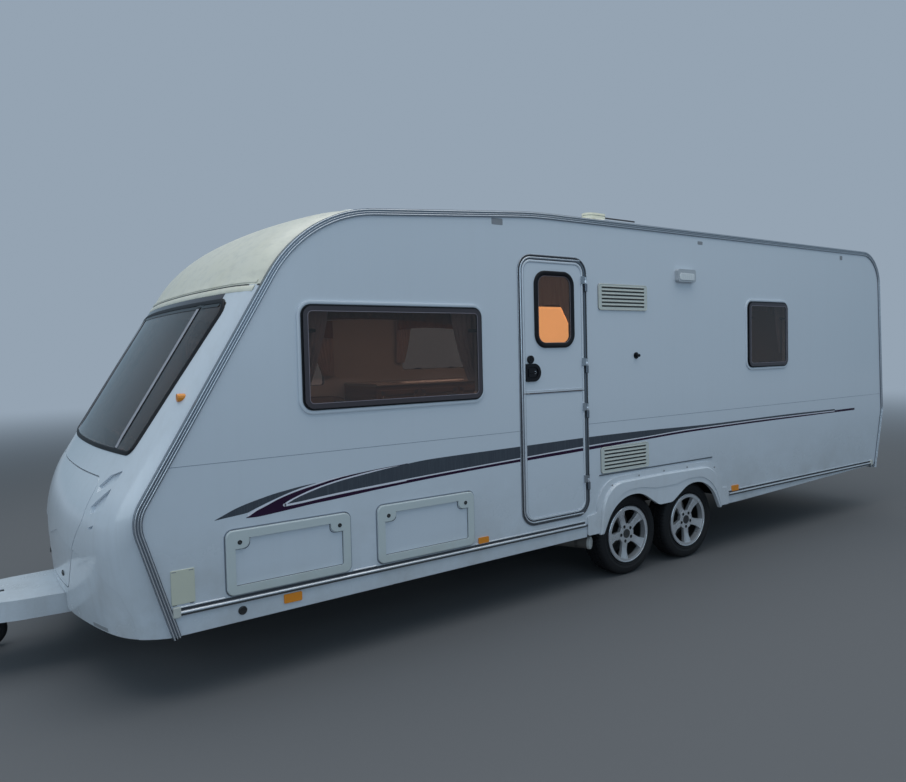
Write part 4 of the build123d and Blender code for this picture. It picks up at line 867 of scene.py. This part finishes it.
# Painted shade: what lies less than about 4.5 mm out from the wall, down in the slots, is near black
overlay(vent_plastic, beyond, low=(0.035, 0.035, 0.033), Edge=wall_y + 0.0045, Soft=0.003)
dress(vent_plastic, "fridge_vents")
vents = [("upper", (172, 672), (1941, 2127)), ("lower", (174, 669), (790, 978))]
blade_count = 6
for name, x, z in vents:
    moulding(f"vent_edge_{name}", box_corners(x, z, 22), bead(0.5, 7, 7.5, 10.5), cap_cream, steps=6)
    pitch = (z[1] - z[0] - 30) / blade_count
    for i in range(blade_count):
        ledge(f"vent_blade_{name}_{i}", (x[0] + 31, x[1] - 31), z[0] + 15 + i * pitch + 0.80 * pitch,
              bead(-4.0, 7, 8.5, 11.5), cap_cream)
    for i, screw_x in enumerate((x[0] + 10, x[1] - 10)):
        screw(f"vent_screw_{name}_{i}", (screw_x, z[0] + 93), 8.8, 3.2, cap_cream)

# Awning lamp
# A grey base with a milky ribbed lens.
lamp_base = finish("lamp_base", (0.50, 0.53, 0.56), 0.35, coat=0.2)
dress(lamp_base, "awning_lamp")
lens = clean("lamp_lens", (0.80, 0.82, 0.82), 0.12, coat=0.6)
slab("awning_lamp_lens", box_corners((-346, -175), (2180, 2234), 14), 33, 39, lens, edge=4)
rib_start, rib_pitch = -330, 23.5
for i in range(7):
    x = rib_start + i * rib_pitch
    moulding(f"awning_lamp_rib_{i}", [(x, 2188, 0), (x, 2226, 0)], bead(-2, 4, 38.2, 40), lens,
             closed=False)

# Wheel spats
# White moulded spats: a band round the arches, screwed to the wall, with a rib along the top.
# Their faces inside the arches are painted dark as shade.
gelcoat = finish("gelcoat", (0.74, 0.78, 0.83), 0.2, coat=0.5, film_amount=0.55, film_top=0.75,
                 streak_amount=0.10, grain_weight=0.05, strength=0.1)
dress(gelcoat, "front_panel", "front_locker_lid", "rear_panel", "drawbar_cover", "rear_bumper",
      "roof_light_frames", "aerial_foot")
spat_gelcoat = gelcoat.copy()
spat_gelcoat.name = "spat_gelcoat"
# Painted shade: the spats' faces more than about 12 mm inside the wall's face are near black
overlay(spat_gelcoat, beyond, low=(0.030, 0.031, 0.033), Edge=wall_y - 0.012, Soft=0.010)
dress(spat_gelcoat, "wheel_spats")
spat_face = proud("wheel_spats") - 0.3
for side, name in sides:
    for i, point in enumerate(((591, 704), (314, 742), (38, 745), (-232, 742), (-571, 704))):
        screw(f"spat_screw_{name}_{i}", point, spat_face, 7.0, patch_grey, side)

# Tyres
# Road tyres with four ribs between grooves, cross cuts in the ribs and fine rings on the sides.
tyre_rubber = finish("tyre_rubber", (0.012, 0.012, 0.014), 0.6, film_amount=0.3, film_top=0.75,
                     film_bottom=0.0, dirt=(0.06, 0.055, 0.05), grain_weight=0.5, shine=0.3)
alloy = finish("alloy", (0.74, 0.74, 0.76), 0.26, metallic=0.5, film_amount=0.25, film_top=0.8,
               film_bottom=0.1, dirt=(0.16, 0.15, 0.14), coat=0.4, strength=0.1)
half_section = [
    # radius and distance from the middle in mm; 1 where cross cuts lower it
    (207, -72, 0), (210, -80, 0), (219, -84.5, 0), (222, -88, 0), (226, -88.6, 0), (229, -86.5, 0),
    (246, -90.6, 0), (247, -91.3, 0), (249, -91.3, 0), (250, -90.7, 0), (262, -90.2, 0),
    (276, -87.6, 0), (285, -83.5, 0), (291, -78, 1), (295.5, -71, 1), (298.4, -48, 1),
    (291.5, -46.5, 0), (291.5, -40, 0), (299.0, -38.5, 1), (299.6, -5.5, 1), (292, -4, 0),
]
tyre_section = half_section + [(r, -y, cut) for r, y, cut in half_section[::-1]]
around, cut_depth = 264, 4.5
# Distances of a wheel's small parts from its middle: outwards along its axle, then across it
hub_face, lip_face, valve_face, weight_face = 0.068, 0.0868, 0.044, 0.072
bolt_circle, valve_circle = 0.056, 0.184
turns = {"front_left": -4.4, "front_right": 21.0, "rear_left": -90.0, "rear_right": 38.0}


def middle_of(name):
    """Middle of a CAD node's box."""
    low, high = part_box(name)
    return Vector([(a + b) / 2 for a, b in zip(low, high)])


def spoke_way(degrees):
    """Direction outwards from a wheel's middle."""
    angle = math.radians(degrees)
    return Vector((math.cos(angle), 0, math.sin(angle)))


# Painted shade: the rims' parts less than 45 mm out from the tyre's middle, deep in the wheel, are near
# black
overlay(alloy, beyond, low=(0.035, 0.034, 0.033), Edge=middle_of("tyre_front_left").y + 0.045,
        Soft=0.014)
rim_shade = finish("rim_shade", (0.05, 0.05, 0.055), 0.45, metallic=0.3, film_amount=0.1)
for corner, turn in turns.items():
    centre = middle_of("tyre_" + corner)
    side = 1 if centre.y > 0 else -1
    body = "wheel_" + corner
    lanes = []
    for radius, off, cut in tyre_section:
        lane = []
        for k in range(around):
            phase = (k + (2 if off > 0 else 0) + (1 if abs(off) < 40 else 0)) % 4
            r = (radius - (cut_depth if cut and phase == 0 else 0)) / 1000
            angle = 2 * math.pi * k / around
            lane.append(centre + Vector((r * math.cos(angle), off / 1000, r * math.sin(angle))))
        lanes.append(lane)
    tyre = lofted("road_tyre_" + corner, lanes, tyre_rubber, body, along=True, sharp=28, capped=False)
    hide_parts("tyre_" + corner)
    dress(alloy, "rim_" + corner)
    out = Vector((0, side, 0))
    face = centre + out * hub_face
    spun(f"hub_cap_{corner}", [(0.031, -0.004), (0.031, 0.002), (0.0295, 0.0045), (0.026, 0.0050),
                               (0.024, 0.0035), (0.012, 0.0042), (0, 0.0044)],
         face, out, rim_shade, body)
    spun(f"rim_lip_{corner}", [(0.2065, 0.0), (0.2065, 0.0022), (0.2040, 0.0042), (0.2005, 0.0034),
                               (0.1985, 0.0), (0.1990, -0.010), (0.2010, -0.010), (0.2015, 0.0)],
         centre + out * lip_face, out, bright_metal, body, steps=96, ring=True)
    for k in range(5):
        spun(f"wheel_bolt_{corner}_{k}", [(0.0125, -0.014), (0.0125, 0.0006), (0.0112, 0.0010),
                                          (0.0085, -0.0002), (0.0075, -0.0060), (0, -0.0060)],
             face + spoke_way(turn + 72 * k) * bolt_circle, out, black_plastic, body, steps=18)
    along = spoke_way(turn + 36)
    spun(f"valve_{corner}", [(0.0055, 0), (0.0045, 0.010), (0.0040, 0.022), (0.0042, 0.023),
                             (0.0042, 0.031), (0.0035, 0.033), (0, 0.033)],
         centre + along * valve_circle + out * valve_face, out * 0.86 - along * 0.5, black_plastic,
         body, steps=16)
    spun(f"wheel_weight_{corner}", [(0.190, 0.0), (0.1915, 0.006), (0.1935, 0.006), (0.1935, 0.0)],
         centre + out * weight_face, out, rim_shade, body, steps=64, ring=True)

# Front
# The nose's mouldings follow its outer face, found by rays from ahead.


def skin_of(*names):
    """The outer faces of CAD nodes, to lay pieces on."""
    points, faces = [], []
    for name in names:
        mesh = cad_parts[name].data
        start = len(points)
        points += [v.co.copy() for v in mesh.vertices]
        faces += [[start + i for i in face.vertices] for face in mesh.polygons]
    return BVHTree.FromPolygons(points, faces)


nose = skin_of("front_panel", "front_window", "front_locker_lid", "front_roof_cap")
tail = skin_of("rear_panel", "cabin_windows", "rear_bumper")


def laid(skin, y, z, out, way=1):
    """Place above a skin at (y, z), seen from ahead (way 1) or from behind (way -1)."""
    hit, normal, _, _ = skin.ray_cast(Vector((6 * way, y, z)), Vector((-way, 0, 0)))
    if hit is None:
        hit, normal, _, _ = skin.find_nearest(Vector((2.5 * way, y, z)))
    if normal.x * way < 0:
        normal = -normal
    return hit + normal * out


def laid_strip(name, skin, corners, profile, material, closed=True, way=1):
    """A strip along an outline of (y, z, radius) on a skin; profile is (inwards, outwards), in m."""
    longest = 0.06
    path = rounded(corners, closed, 6)
    dense = []
    for i, point in enumerate(path):
        dense.append(point)
        on = path[(i + 1) % len(path)]
        if closed or i < len(path) - 1:
            extra = int((on - point).length / longest)
            dense += [point.lerp(on, k / (extra + 1)) for k in range(1, extra + 1)]
    lanes = [[laid(skin, p.x, p.y, out, way) for p in inset(dense, inward, closed)]
             for inward, out in profile]
    return lofted(name, lanes, material, across=True, along=closed)


def laid_across(name, skin, reach, z, profile, material, way=1):
    """A straight level strip on a skin that reaches as far to the left as to the right."""
    return laid_strip(name, skin, [(reach, z, 0), (-reach, z, 0)], profile, material, closed=False,
                      way=way)


window_line = [(-0.900, 1.203, 0.05), (0.900, 1.203, 0.05), (0.992, 1.962, 0.07), (-0.992, 1.962, 0.07)]
laid_strip("front_window_seal", nose, window_line,
           [(-0.010, -0.002), (-0.010, 0.003), (-0.004, 0.006), (0.006, 0.006), (0.012, 0.003),
            (0.012, -0.002)], black_rubber)
laid_across("front_window_top", nose, 0.93, 1.945, flat(-0.014, 0.016, -0.001, 0.003), black_plastic)
divider_pink = finish("divider_pink", (0.55, 0.50, 0.52), 0.25, metallic=0.5, film_amount=0.2)
divider_y, lock_y, lock_z = 0.68, 0.30, 0.525
for side, name in sides:
    y = side * divider_y
    laid_strip(f"front_window_divider_{name}", nose, [(y, 1.216, 0), (y, 1.93, 0)],
               [(-0.017, -0.001), (-0.015, 0.004), (-0.006, 0.007), (0.006, 0.007), (0.015, 0.004),
                (0.017, -0.001)], divider_pink, closed=False)
    laid_strip(f"front_divider_seal_{name}", nose, [(y, 1.210, 0), (y, 1.94, 0)],
               flat(-0.024, 0.024, -0.001, 0.0025), black_rubber, closed=False)
    centre = laid(nose, side * lock_y, lock_z, -0.004)
    ahead = (laid(nose, side * lock_y, lock_z, 0.01) - centre).normalized()
    spun(f"lid_lock_{name}", [(0.016, 0), (0.016, 0.007), (0.013, 0.010), (0.006, 0.010), (0.005, 0.006),
                              (0, 0.006)], centre, ahead, black_plastic, "front_locker_lid", steps=24)
for name, ends in (("left", (0.70, 0.85)), ("right", (-0.85, -0.70))):
    laid_strip(f"lip_slot_{name}", nose, [(y, 0.345, 0) for y in ends],
               flat(-0.009, 0.009, -0.002, 0.0012), patch_grey, closed=False)

# Roof cap
# Aged moulding: cream-white, streaked from front to back, yellow near its front seam, with a
# skirt below the seam and a dark strip above the window.
aged_gelcoat = clean("aged_gelcoat", (0.84, 0.81, 0.70), 0.35, streak_amount=0.35, streak_fineness=12.0,
                     streak_length=26.0, streak_colour=(0.50, 0.50, 0.46), strength=0.15)
overlay(aged_gelcoat, film, high=(0.80, 0.75, 0.55), Amount=0.6, Top=2.50, Bottom=2.04, Scale=3.5)
dress(aged_gelcoat, "front_roof_cap")
cap_strips = [
    # name, half its width, height, section, material
    ("cap_seam", 1.115, 2.034, flat(-0.004, 0.004, -0.002, 0.0018), seam_and_shade_dark),
    ("cap_skirt", 1.10, 2.030, [(0, -0.001), (0, 0.003), (0.004, 0.005), (0.016, 0.006), (0.026, 0.005),
                                (0.030, 0.002), (0.030, -0.001)], aged_gelcoat),
    ("window_head", 0.912, 1.999, [(0, -0.001), (0, 0.002), (0.018, 0.0035), (0.038, 0.002),
                                   (0.038, -0.001)], edge_print),
    ("cap_ridge", 1.10, 2.052, [(-0.009, -0.001), (-0.006, 0.005), (0.006, 0.005), (0.009, -0.001)],
     aged_gelcoat),
]
for name, reach, z, section, material in cap_strips:
    laid_across(name, nose, reach, z, section, material)

# Roof lights
# Milky plastic lids, hinged on moulded frames.
milky = finish("milky", (0.72, 0.73, 0.70), 0.25, coat=0.3)
dress(milky, "roof_light_front", "roof_light_rear")

# Rear
# Moulded panel, bumper and lamp clusters; the number plate's place is blank.
red_lens = finish("red_lens", (0.42, 0.008, 0.010), 0.1, coat=0.6, grain_weight=1.0, grain_scale=140.0,
                  strength=0.3)
overlay(red_lens, film, high=(0.80, 0.26, 0.02), Amount=60.0, Top=0.600, Bottom=0.598, Scale=0.01)
dress(red_lens, "rear_lamps")
lamp_skin = skin_of("rear_lamps")
for side, name in sides:
    ends = sorted((side * 0.885, side * 1.075))
    for i, z in enumerate((0.60, 0.73)):
        laid_strip(f"rear_lamp_rib_{name}_{i}", lamp_skin, [(y, z, 0) for y in ends],
                   flat(-0.004, 0.004, -0.001, 0.002), black_plastic, closed=False, way=-1)
plate_white = finish("plate_white", (0.66, 0.66, 0.62), 0.4)
laid_across("number_plate_place", tail, 0.27, 0.475, flat(-0.055, 0.055, -0.001, 0.002), plate_white, -1)
laid_strip("rear_window_seal", tail, [(0.437, 1.523, 0.06), (-0.437, 1.523, 0.06),
                                      (-0.437, 1.987, 0.06), (0.437, 1.987, 0.06)],
           [(0.012, -0.002), (0.012, 0.004), (0.006, 0.006), (-0.006, 0.006), (-0.012, 0.004),
            (-0.012, -0.002)], black_rubber, way=-1)

# Drawbar and jockey wheel
# Galvanised steel with a dark cast coupling and handbrake lever.
galvanised = finish("galvanised", (0.42, 0.44, 0.46), 0.5, metallic=0.85, strength=0.25, wave=0.5,
                    wave_scale=40.0, film_amount=0.6, film_top=0.6)
dark_iron = finish("dark_iron", (0.05, 0.05, 0.055), 0.5, metallic=0.5, film_amount=0.6)
dress(galvanised, "chassis_rails", "chassis_cross_members", "drawbar_arms", "jockey_clamp",
      "jockey_leg", "jockey_fork", "steady_front_left", "steady_front_right", "steady_rear_left",
      "steady_rear_right")
dress(dark_iron, "coupling_head", "handbrake_lever", "axles")
dress(tyre_rubber, "jockey_wheel")
jockey_centre, disc_face = middle_of("jockey_wheel"), 0.0285
for side, name in sides:
    spun(f"jockey_disc_{name}", [(0.066, 0), (0.066, 0.0025), (0.060, 0.0035), (0.040, 0.001),
                                 (0.020, 0.004), (0.018, 0.004), (0.018, 0)],
         jockey_centre + Vector((0, side * disc_face, 0)), (0, side, 0), galvanised, "jockey_wheel")

# Inside
# Wood-grain furniture and pale bulkheads, seen through the tinted windows.
wood = clean("wood", (0.26, 0.15, 0.075), 0.45, coat=0.2, streak_amount=0.8, streak_fineness=3.0,
             streak_length=40.0, streak_colour=(0.16, 0.085, 0.04), strength=0.1)
pale_lining = clean("pale_lining", (0.45, 0.40, 0.34), 0.7)
floor_vinyl = clean("floor_vinyl", (0.20, 0.15, 0.11), 0.5, streak_amount=0.5, streak_fineness=3.0,
                    streak_length=3.0, streak_colour=(0.28, 0.21, 0.15))
dress(wood, "furniture")
dress(pale_lining, "bulkheads")
dress(floor_vinyl, "floor")

# Furniture fronts
# Doors with a dark joint round each and a small silver knob, on the kitchen, the wardrobe and the
# benches, with a pale worktop over the kitchen.
worktop = clean("worktop", (0.42, 0.38, 0.33), 0.25, coat=0.4, grain_weight=1.0, grain_scale=220.0,
                strength=0.08)
fronts = [
    # name, x range, z range, y of the front in mm, count of doors, side
    ("kitchen", (-40, 1520), (530, 1370), 520, 4, -1),
    ("wardrobe", (132, 733), (530, 2320), 480, 1, 1),
    ("bench_front_left", (1590, 3150), (520, 860), 420, 3, 1),
    ("bench_front_right", (1590, 3150), (520, 860), 420, 3, -1),
    ("bench_rear_left", (-1760, -770), (520, 860), 420, 2, 1),
    ("bench_rear_right", (-1760, -770), (520, 860), 420, 2, -1),
]
for name, x, z, front_y, count, side in fronts:
    out = front_y - wall_y * 1000
    step = (x[1] - x[0]) / count
    for i in range(count):
        low = x[0] + i * step + 12
        high = low + step - 24
        moulding(f"{name}_door_{i}", box_corners((low, high), z, 8),
                 [(0, out + 1), (0, out - 6), (4, out - 9), (40, out - 9), (44, out - 6), (44, out + 1)],
                 wood, side=side, steps=3)
        spun(f"{name}_knob_{i}", [(0.006, 0), (0.004, 0.012), (0.011, 0.018), (0.010, 0.024),
                                  (0, 0.026)], on_wall((high - 22, z[1] - 60), out, side),
             (0, -side, 0), bright_metal, steps=16)
worktop_section = [(-1118, 1401), (-1118, 1424), (-520, 1424), (-508, 1420), (-504, 1412), (-508, 1404),
                   (-520, 1401)]
lofted("kitchen_worktop", [[(mid_x + x / 1000, y / 1000, z / 1000) for x in (-62, 1542)]
                           for y, z in worktop_section], worktop, across=True)

# Cushions
# Foam seats and backs in a ribbed grey-brown cloth, piped along their seams. Their sides pull in
# between the corners, their crowns come from a short cloth simulation, and they lie flat below.
seat_cloth = clean("seat_cloth", (0.33, 0.27, 0.24), streak_amount=0.5, streak_fineness=40.0,
                   streak_length=1.0, streak_colour=(0.22, 0.16, 0.14), grain_weight=1.0,
                   grain_scale=600.0, strength=0.5, distance=0.0008)
piping_cloth = clean("piping_cloth", (0.16, 0.11, 0.10), 0.85, grain_weight=1.0, grain_scale=900.0,
                     strength=0.3, distance=0.0004)


def pillow_point(half, s, t, w):
    """Point of a cushion's slack form: rounded at its corners, its sides drawn in between them."""
    bow, corner = 0.010, 0.028
    return Vector((s * (half[0] - bow * s * s * (1 - t * t) - corner * s ** 6 * t ** 8),
                   t * (half[1] - bow * t * t * (1 - s * s) - corner * t ** 6 * s ** 8),
                   w * half[2]))


def pillow(name, half, cells):
    """Object of a cushion about its middle with its seams and its resting face held by a group."""
    nu, nv, nw = cells
    index, points, faces, held = {}, [], [], []

    def at(i, j, k):
        if (i, j, k) not in index:
            index[i, j, k] = len(points)
            points.append(pillow_point(half, 2 * i / nu - 1, 2 * j / nv - 1, 2 * k / nw - 1))
            if k == 0 or k == nw and (i in (0, nu) or j in (0, nv)):
                held.append(index[i, j, k])
        return index[i, j, k]

    for i in range(nu):
        for j in range(nv):
            for k in (0, nw):
                faces.append((at(i, j, k), at(i + 1, j, k), at(i + 1, j + 1, k), at(i, j + 1, k)))
    for k in range(nw):
        for j in (0, nv):
            for i in range(nu):
                faces.append((at(i, j, k), at(i + 1, j, k), at(i + 1, j, k + 1), at(i, j, k + 1)))
        for i in (0, nu):
            for j in range(nv):
                faces.append((at(i, j, k), at(i, j + 1, k), at(i, j + 1, k + 1), at(i, j, k + 1)))
    made = placed(name, mesh_of(name, points, faces))
    group = made.vertex_groups.new(name="held")
    group.add(held, 1.0, "REPLACE")
    return made


def swell(made, cap):
    """Blow a cushion up with a short cloth simulation; no point moves further than cap."""
    rest = [v.co.copy() for v in made.data.vertices]
    cloth = made.modifiers.new("Cloth", "CLOTH")
    cloth.settings.quality = 6
    cloth.settings.mass = 0.3
    cloth.settings.tension_stiffness = 20
    cloth.settings.compression_stiffness = 20
    cloth.settings.use_pressure = True
    cloth.settings.uniform_pressure_force = 4.0
    cloth.settings.vertex_group_mass = "held"
    cloth.settings.effector_weights.gravity = 0.0
    cloth.collision_settings.use_self_collision = False
    for step in range(1, 21):
        scene.frame_set(step)
    settled = made.evaluated_get(bpy.context.evaluated_depsgraph_get())
    moved = [v.co.copy() for v in settled.data.vertices]
    made.modifiers.clear()
    scene.frame_set(1)
    for vertex, start, end in zip(made.data.vertices, rest, moved):
        way = end - start
        vertex.co = start + (way * (cap / way.length) if way.length > cap else way)


def subdivided(made):
    """Mesh of an object after one level of subdivision."""
    smooth = made.modifiers.new("Subdivision", "SUBSURF")
    smooth.levels = smooth.render_levels = 1
    finer = bpy.data.meshes.new_from_object(made.evaluated_get(bpy.context.evaluated_depsgraph_get()))
    made.modifiers.clear()
    made.vertex_groups.clear()
    return finer


def seated(p, middle, upright, side):
    """A cushion's own point in the frame; a back stands upright with its crown to the cabin."""
    across, high = (-p.z, p.y) if upright else (p.y, p.z)
    return Vector((middle[0] + p.x, side * (middle[1] + across), middle[2] + high))


cushion_kinds = [
    # name, x range in mm, |y| range, z range, whether it stands upright, cells
    ("seat_front", (1572, 3018), (432, 986), (900, 1040), False, (48, 18, 4)),
    ("seat_rear", (-1768, -762), (432, 986), (900, 1040), False, (34, 18, 4)),
    ("back_front", (1572, 3018), (988, 1118), (1050, 1330), True, (48, 10, 4)),
    ("back_rear", (-1768, -762), (988, 1118), (1050, 1330), True, (34, 10, 4)),
]
crown, slack_gap = 0.018, 0.016
piping_radius, piping_sides = 0.0035, 8
seam_line = [(-1 + k / 12, -1) for k in range(24)] + [(1, -1 + k / 8) for k in range(16)]
seam_line += [(1 - k / 12, 1) for k in range(24)] + [(-1, 1 - k / 8) for k in range(16)]
for kind, x, y, z, upright, cells in cushion_kinds:
    wide, thick = (z, y) if upright else (y, z)
    size = ((x[1] - x[0]) / 1000 - slack_gap, (wide[1] - wide[0]) / 1000 - slack_gap,
            (thick[1] - thick[0]) / 1000 - crown)
    half = [s / 2 for s in size]
    middle = [mid_x + (x[0] + x[1]) / 2000, (y[0] + y[1]) / 2000, z[0] / 1000 + half[2]]
    if upright:
        middle[1:] = y[1] / 1000 - half[2], (z[0] + z[1]) / 2000
    slack = pillow(kind, half, cells)
    swell(slack, crown)
    finer = subdivided(slack)
    bpy.data.objects.remove(slack)
    for side, name in sides:
        cushion = piece(f"cushion_{kind}_{name}",
                        [seated(v.co, middle, upright, side) for v in finer.vertices],
                        [tuple(f.vertices) for f in finer.polygons], seat_cloth, sharp=60)
        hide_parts("cushions")
        for edge, w in (("upper", 1), ("lower", -1)):
            lanes = []
            for k in range(piping_sides):
                a = 2 * math.pi * k / piping_sides
                lane = []
                for s, t in seam_line:
                    p = pillow_point(half, s, t, w)
                    way = Vector((p.x / half[0], p.y / half[1], 0)).normalized()
                    p += way * piping_radius * math.cos(a)
                    p.z += piping_radius * math.sin(a) - 0.002 * w
                    lane.append(seated(p, middle, upright, side))
                lanes.append(lane)
            lofted(f"piping_{kind}_{name}_{edge}", lanes, piping_cloth, across=True, along=True,
                   sharp=60)

# Pipe under the floor
# A plastic tube that points out and back from under the door side's skirt, with a pale cap on its
# end, hung from the floor by two straps. Its body is darkened with painted shade under the floor.
# Painted shade: the heavy dark film on the pipe stands for the shade under the floor
pipe_plastic = finish("pipe_plastic", (0.20, 0.18, 0.165), 0.7, film_amount=0.9, film_top=0.5,
                      dirt=(0.08, 0.07, 0.06), shine=0.2)
pipe_cap = finish("pipe_cap", (0.62, 0.60, 0.57), 0.6, film_amount=0.15, film_top=0.5)
pipe_end, pipe_r = Vector((mid_x + 0.697, wall_y - 0.080, 0.288)), 0.044
pipe_way = Vector((0.48, -0.877, 0))
spun("floor_pipe", [(0, 0.012), (pipe_r - 0.003, 0.012), (pipe_r - 0.003, 0.34), (0, 0.34)],
     pipe_end, pipe_way, pipe_plastic, steps=40)
spun("floor_pipe_cap", [(0, 0), (pipe_r - 0.006, 0), (pipe_r - 0.001, 0.003), (pipe_r, 0.006),
                        (pipe_r, 0.022), (pipe_r - 0.003, 0.023)],
     pipe_end, pipe_way, pipe_cap, steps=40)
floor_low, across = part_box("floor")[0].z, Vector((-pipe_way.y, pipe_way.x, 0))
for i, ahead in enumerate((0.10, 0.27)):
    lanes = []
    for along, r in ((-0.012, pipe_r - 0.004), (-0.012, pipe_r - 0.001), (0.012, pipe_r - 0.001),
                     (0.012, pipe_r - 0.004)):
        foot = pipe_end + pipe_way * (ahead + along)
        lane = [Vector((*(foot + across * r).xy, floor_low))]
        lane += [foot + across * r * math.cos(math.pi * k / 12)
                 - Vector((0, 0, r * math.sin(math.pi * k / 12))) for k in range(13)]
        lane.append(Vector((*(foot - across * r).xy, floor_low)))
        lanes.append(lane)
    lofted(f"floor_pipe_strap_{i}", lanes, dark_iron, across=True)

# Aerial
# A cream pod with a seam round its middle and a dark boom with a tip.
aerial_cream = clean("aerial_cream", (0.84, 0.80, 0.62), 0.35)
dress(aerial_cream, "aerial")
low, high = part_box("aerial")
boom_y, boom_height = (low[1] + high[1]) / 2, high[2] - 0.020
spun("aerial_boom_sleeve", [(0.0066, 0), (0.0066, 0.385), (0.0058, 0.3875), (0, 0.3875)],
     (low[0] - 0.0004, boom_y, boom_height), (1, 0, 0), dark_iron, "aerial", steps=16)
pod_low, pod_radius = low[0] + 0.390, 0.055
pod_line = rounded([(pod_low, low[1], pod_radius), (high[0], low[1], pod_radius),
                    (high[0], high[1], pod_radius), (pod_low, high[1], pod_radius)], True, 10)
pod_seam = [[(p.x, p.y, boom_height + z) for p in inset(pod_line, inward)]
            for inward, z in ((0, -0.0012), (0, 0.0012), (-0.0014, 0.0012), (-0.0014, -0.0012))]
lofted("aerial_pod_seam", pod_seam, rim_shade, "aerial", across=True, along=True)
